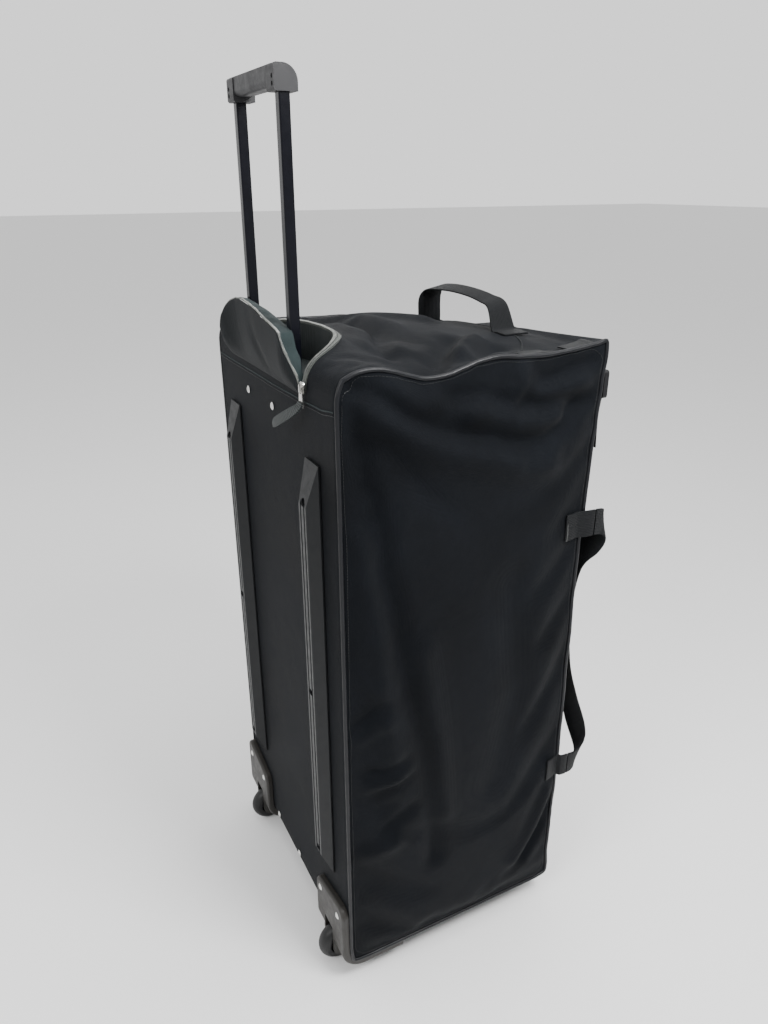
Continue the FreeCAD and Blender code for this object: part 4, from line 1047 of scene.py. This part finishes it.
def metal(name, colour, roughness, scratch=(400.0, 400.0, 12.0)):
    """Plated or drawn metal with fine directional marks."""
    material = finish(name, colour, roughness, Metallic=1.0)
    mapping = node(material, "ShaderNodeMapping", i0=place(material))
    mapping.inputs["Scale"].default_value = scratch
    lines = noise(material, mapping.outputs["Vector"], 1.0, 4.0, 0.6)
    low = tuple(channel * 0.82 for channel in colour)
    to_shader(material, "Base Color", ramp(material, lines, [(0.3, low), (0.7, colour)]))
    to_shader(material, "Roughness", ramp(material, lines, [(0.3, roughness), (0.75, roughness + 0.16)]))
    bumped(material, lines, 0.00006, 0.5)
    return material


grip_plastic = moulded("grip_satin_black", (0.012, 0.012, 0.0135), (0.020, 0.020, 0.022), 0.45, specular=0.3)
paint(grip_plastic, "grip_front_half", "grip_back_half")
tube_gloss = moulded("tube_gloss_black", (0.0020, 0.0022, 0.0040), (0.0040, 0.0042, 0.0070), 0.20,
                     grain=300.0, depth=0.00001, specular=0.20, wear=0.04)
paint(tube_gloss, *both("inner_tube"), *both("outer_tube"))
housing_plastic = moulded("housing_satin_grey", (0.016, 0.015, 0.0135), (0.028, 0.0255, 0.023), 0.45,
                           specular=0.3)
paint(housing_plastic, *both("wheel_housing"))
hidden_plastic = moulded("black_nylon", (0.004, 0.004, 0.005), (0.009, 0.009, 0.010), 0.45,
                          specular=0.25)
paint(hidden_plastic, "upper_tube_bracket", "lower_tube_bracket", *both("tube_catch"), *both("front_foot"),
      "strap_buckles", "back_board", "base_board", *both("wheel_core"))
rivet_metal = metal("rivet_plate", (0.72, 0.72, 0.70), 0.24)
paint(rivet_metal, "bracket_rivets", "housing_rivets", *both("axle"))
screw_metal = metal("dark_screw_plate", (0.20, 0.20, 0.21), 0.34)
paint(screw_metal, "rail_screws", "grip_screws", "catch_pins", "catch_springs", "axle_spacers",
      *both("wheel_bearings"))
zip_metal = metal("zip_nickel", (0.78, 0.77, 0.74), 0.18, scratch=(900.0, 900.0, 90.0))
paint(zip_metal, "pocket_zip_slider", "pocket_zip_pull", "main_zip_slider", "main_zip_pull")

# Tyre: black polyurethane.
tyre_rubber = moulded("tyre_black", (0.004, 0.0045, 0.005), (0.011, 0.011, 0.011), 0.42, grain=500.0,
                      depth=0.0002, specular=0.3)
paint(tyre_rubber, *both("tyre"))

# Rail: extruded strip with a ribbed ridge between dark smooth aprons; the ridge's outer face is painted paler
# as a highlight.
rail_plastic = moulded("rail_grey", (0.006, 0.0065, 0.0075), (0.010, 0.011, 0.012), 0.42, specular=0.25)
rail_axes = node(rail_plastic, "ShaderNodeSeparateXYZ", i0=place(rail_plastic)).outputs
off_ridge = maths(rail_plastic, "ABSOLUTE",
                  maths(rail_plastic, "SUBTRACT", maths(rail_plastic, "ABSOLUTE", rail_axes[0]), 0.147))
# Painted highlight: this mask picks the ridge's outer face, which is coloured paler than the aprons.
ridge_highlight = maths(rail_plastic, "MULTIPLY", maths(rail_plastic, "GREATER_THAN", rail_axes[1], 0.2003),
             maths(rail_plastic, "LESS_THAN", off_ridge, 0.0116))
rail_tone = node(rail_plastic, "ShaderNodeMix", {"data_type": "RGBA"}, i0=ridge_highlight)
rail_tone.inputs["A"].default_value = (0.0062, 0.0070, 0.0080, 1)
rail_tone.inputs["B"].default_value = (0.0190, 0.0205, 0.0210, 1)
to_shader(rail_plastic, "Base Color", rail_tone.outputs["Result"])
paint(rail_plastic, *both("skid_rail"))

bpy.data.objects.remove(skin, do_unlink=True)


# ------------------------------------------------------------ studio
# A pale floor, a sky that is pale ahead of the camera and dim behind it, soft lights and the camera.
# None of it is part of the bag.
floor = fresh("floor", bpy.ops.mesh.primitive_plane_add, size=60)
floor.data.materials.append(finish("floor_paper", (0.86, 0.86, 0.86), 0.9))
world = bpy.data.worlds.new("soft_white")
world.use_nodes = True
sky = world.node_tree
facing = sky.nodes.new("ShaderNodeSeparateXYZ")
sky.links.new(sky.nodes.new("ShaderNodeTexCoord").outputs["Generated"], facing.inputs[0])
fade = sky.nodes.new("ShaderNodeMapRange")
fade.interpolation_type = "SMOOTHSTEP"
fade.inputs["From Min"].default_value = -0.60
fade.inputs["From Max"].default_value = 0.30
fade.inputs["To Min"].default_value = 0.55
fade.inputs["To Max"].default_value = 1.30
sky.links.new(facing.outputs["X"], fade.inputs["Value"])
sky.links.new(fade.outputs["Result"], sky.nodes["Background"].inputs["Strength"])
sky.nodes["Background"].inputs["Color"].default_value = (1, 1, 1, 1)
bpy.context.scene.world = world
for name, spot, size, power in (("key", (-1.1, 2.6, 2.6), 1.4, 60), ("over", (-0.3, -0.2, 3.2), 1.6, 40),
                                ("side", (-0.95, -0.30, 1.70), 0.5, 34)):
    light_data = bpy.data.lights.new(name, "AREA")
    light_data.size = size
    light_data.energy = power
    light = bpy.data.objects.new(name, light_data)
    light.location = spot
    light.rotation_euler = (Vector((0, 0, 0.6)) - Vector(spot)).to_track_quat("-Z", "Y").to_euler()
    bpy.context.scene.collection.objects.link(light)

camera_data = bpy.data.cameras.new("view")
camera_data.lens = 27.03
camera_data.sensor_width = 36
camera = bpy.data.objects.new("view", camera_data)
turn, rise, roll = math.radians(242.926), math.radians(23.348), math.radians(-0.135)
away = Vector((math.sin(turn) * math.cos(rise), -math.cos(turn) * math.cos(rise), math.sin(rise)))
camera.rotation_mode = "QUATERNION"
camera.rotation_quaternion = (-away).to_track_quat("-Z", "Y") @ Matrix.Rotation(roll, 3, "Z").to_quaternion()
camera.location = (-0.9303, 0.4933, 1.1031)
bpy.context.scene.collection.objects.link(camera)
bpy.context.scene.camera = camera
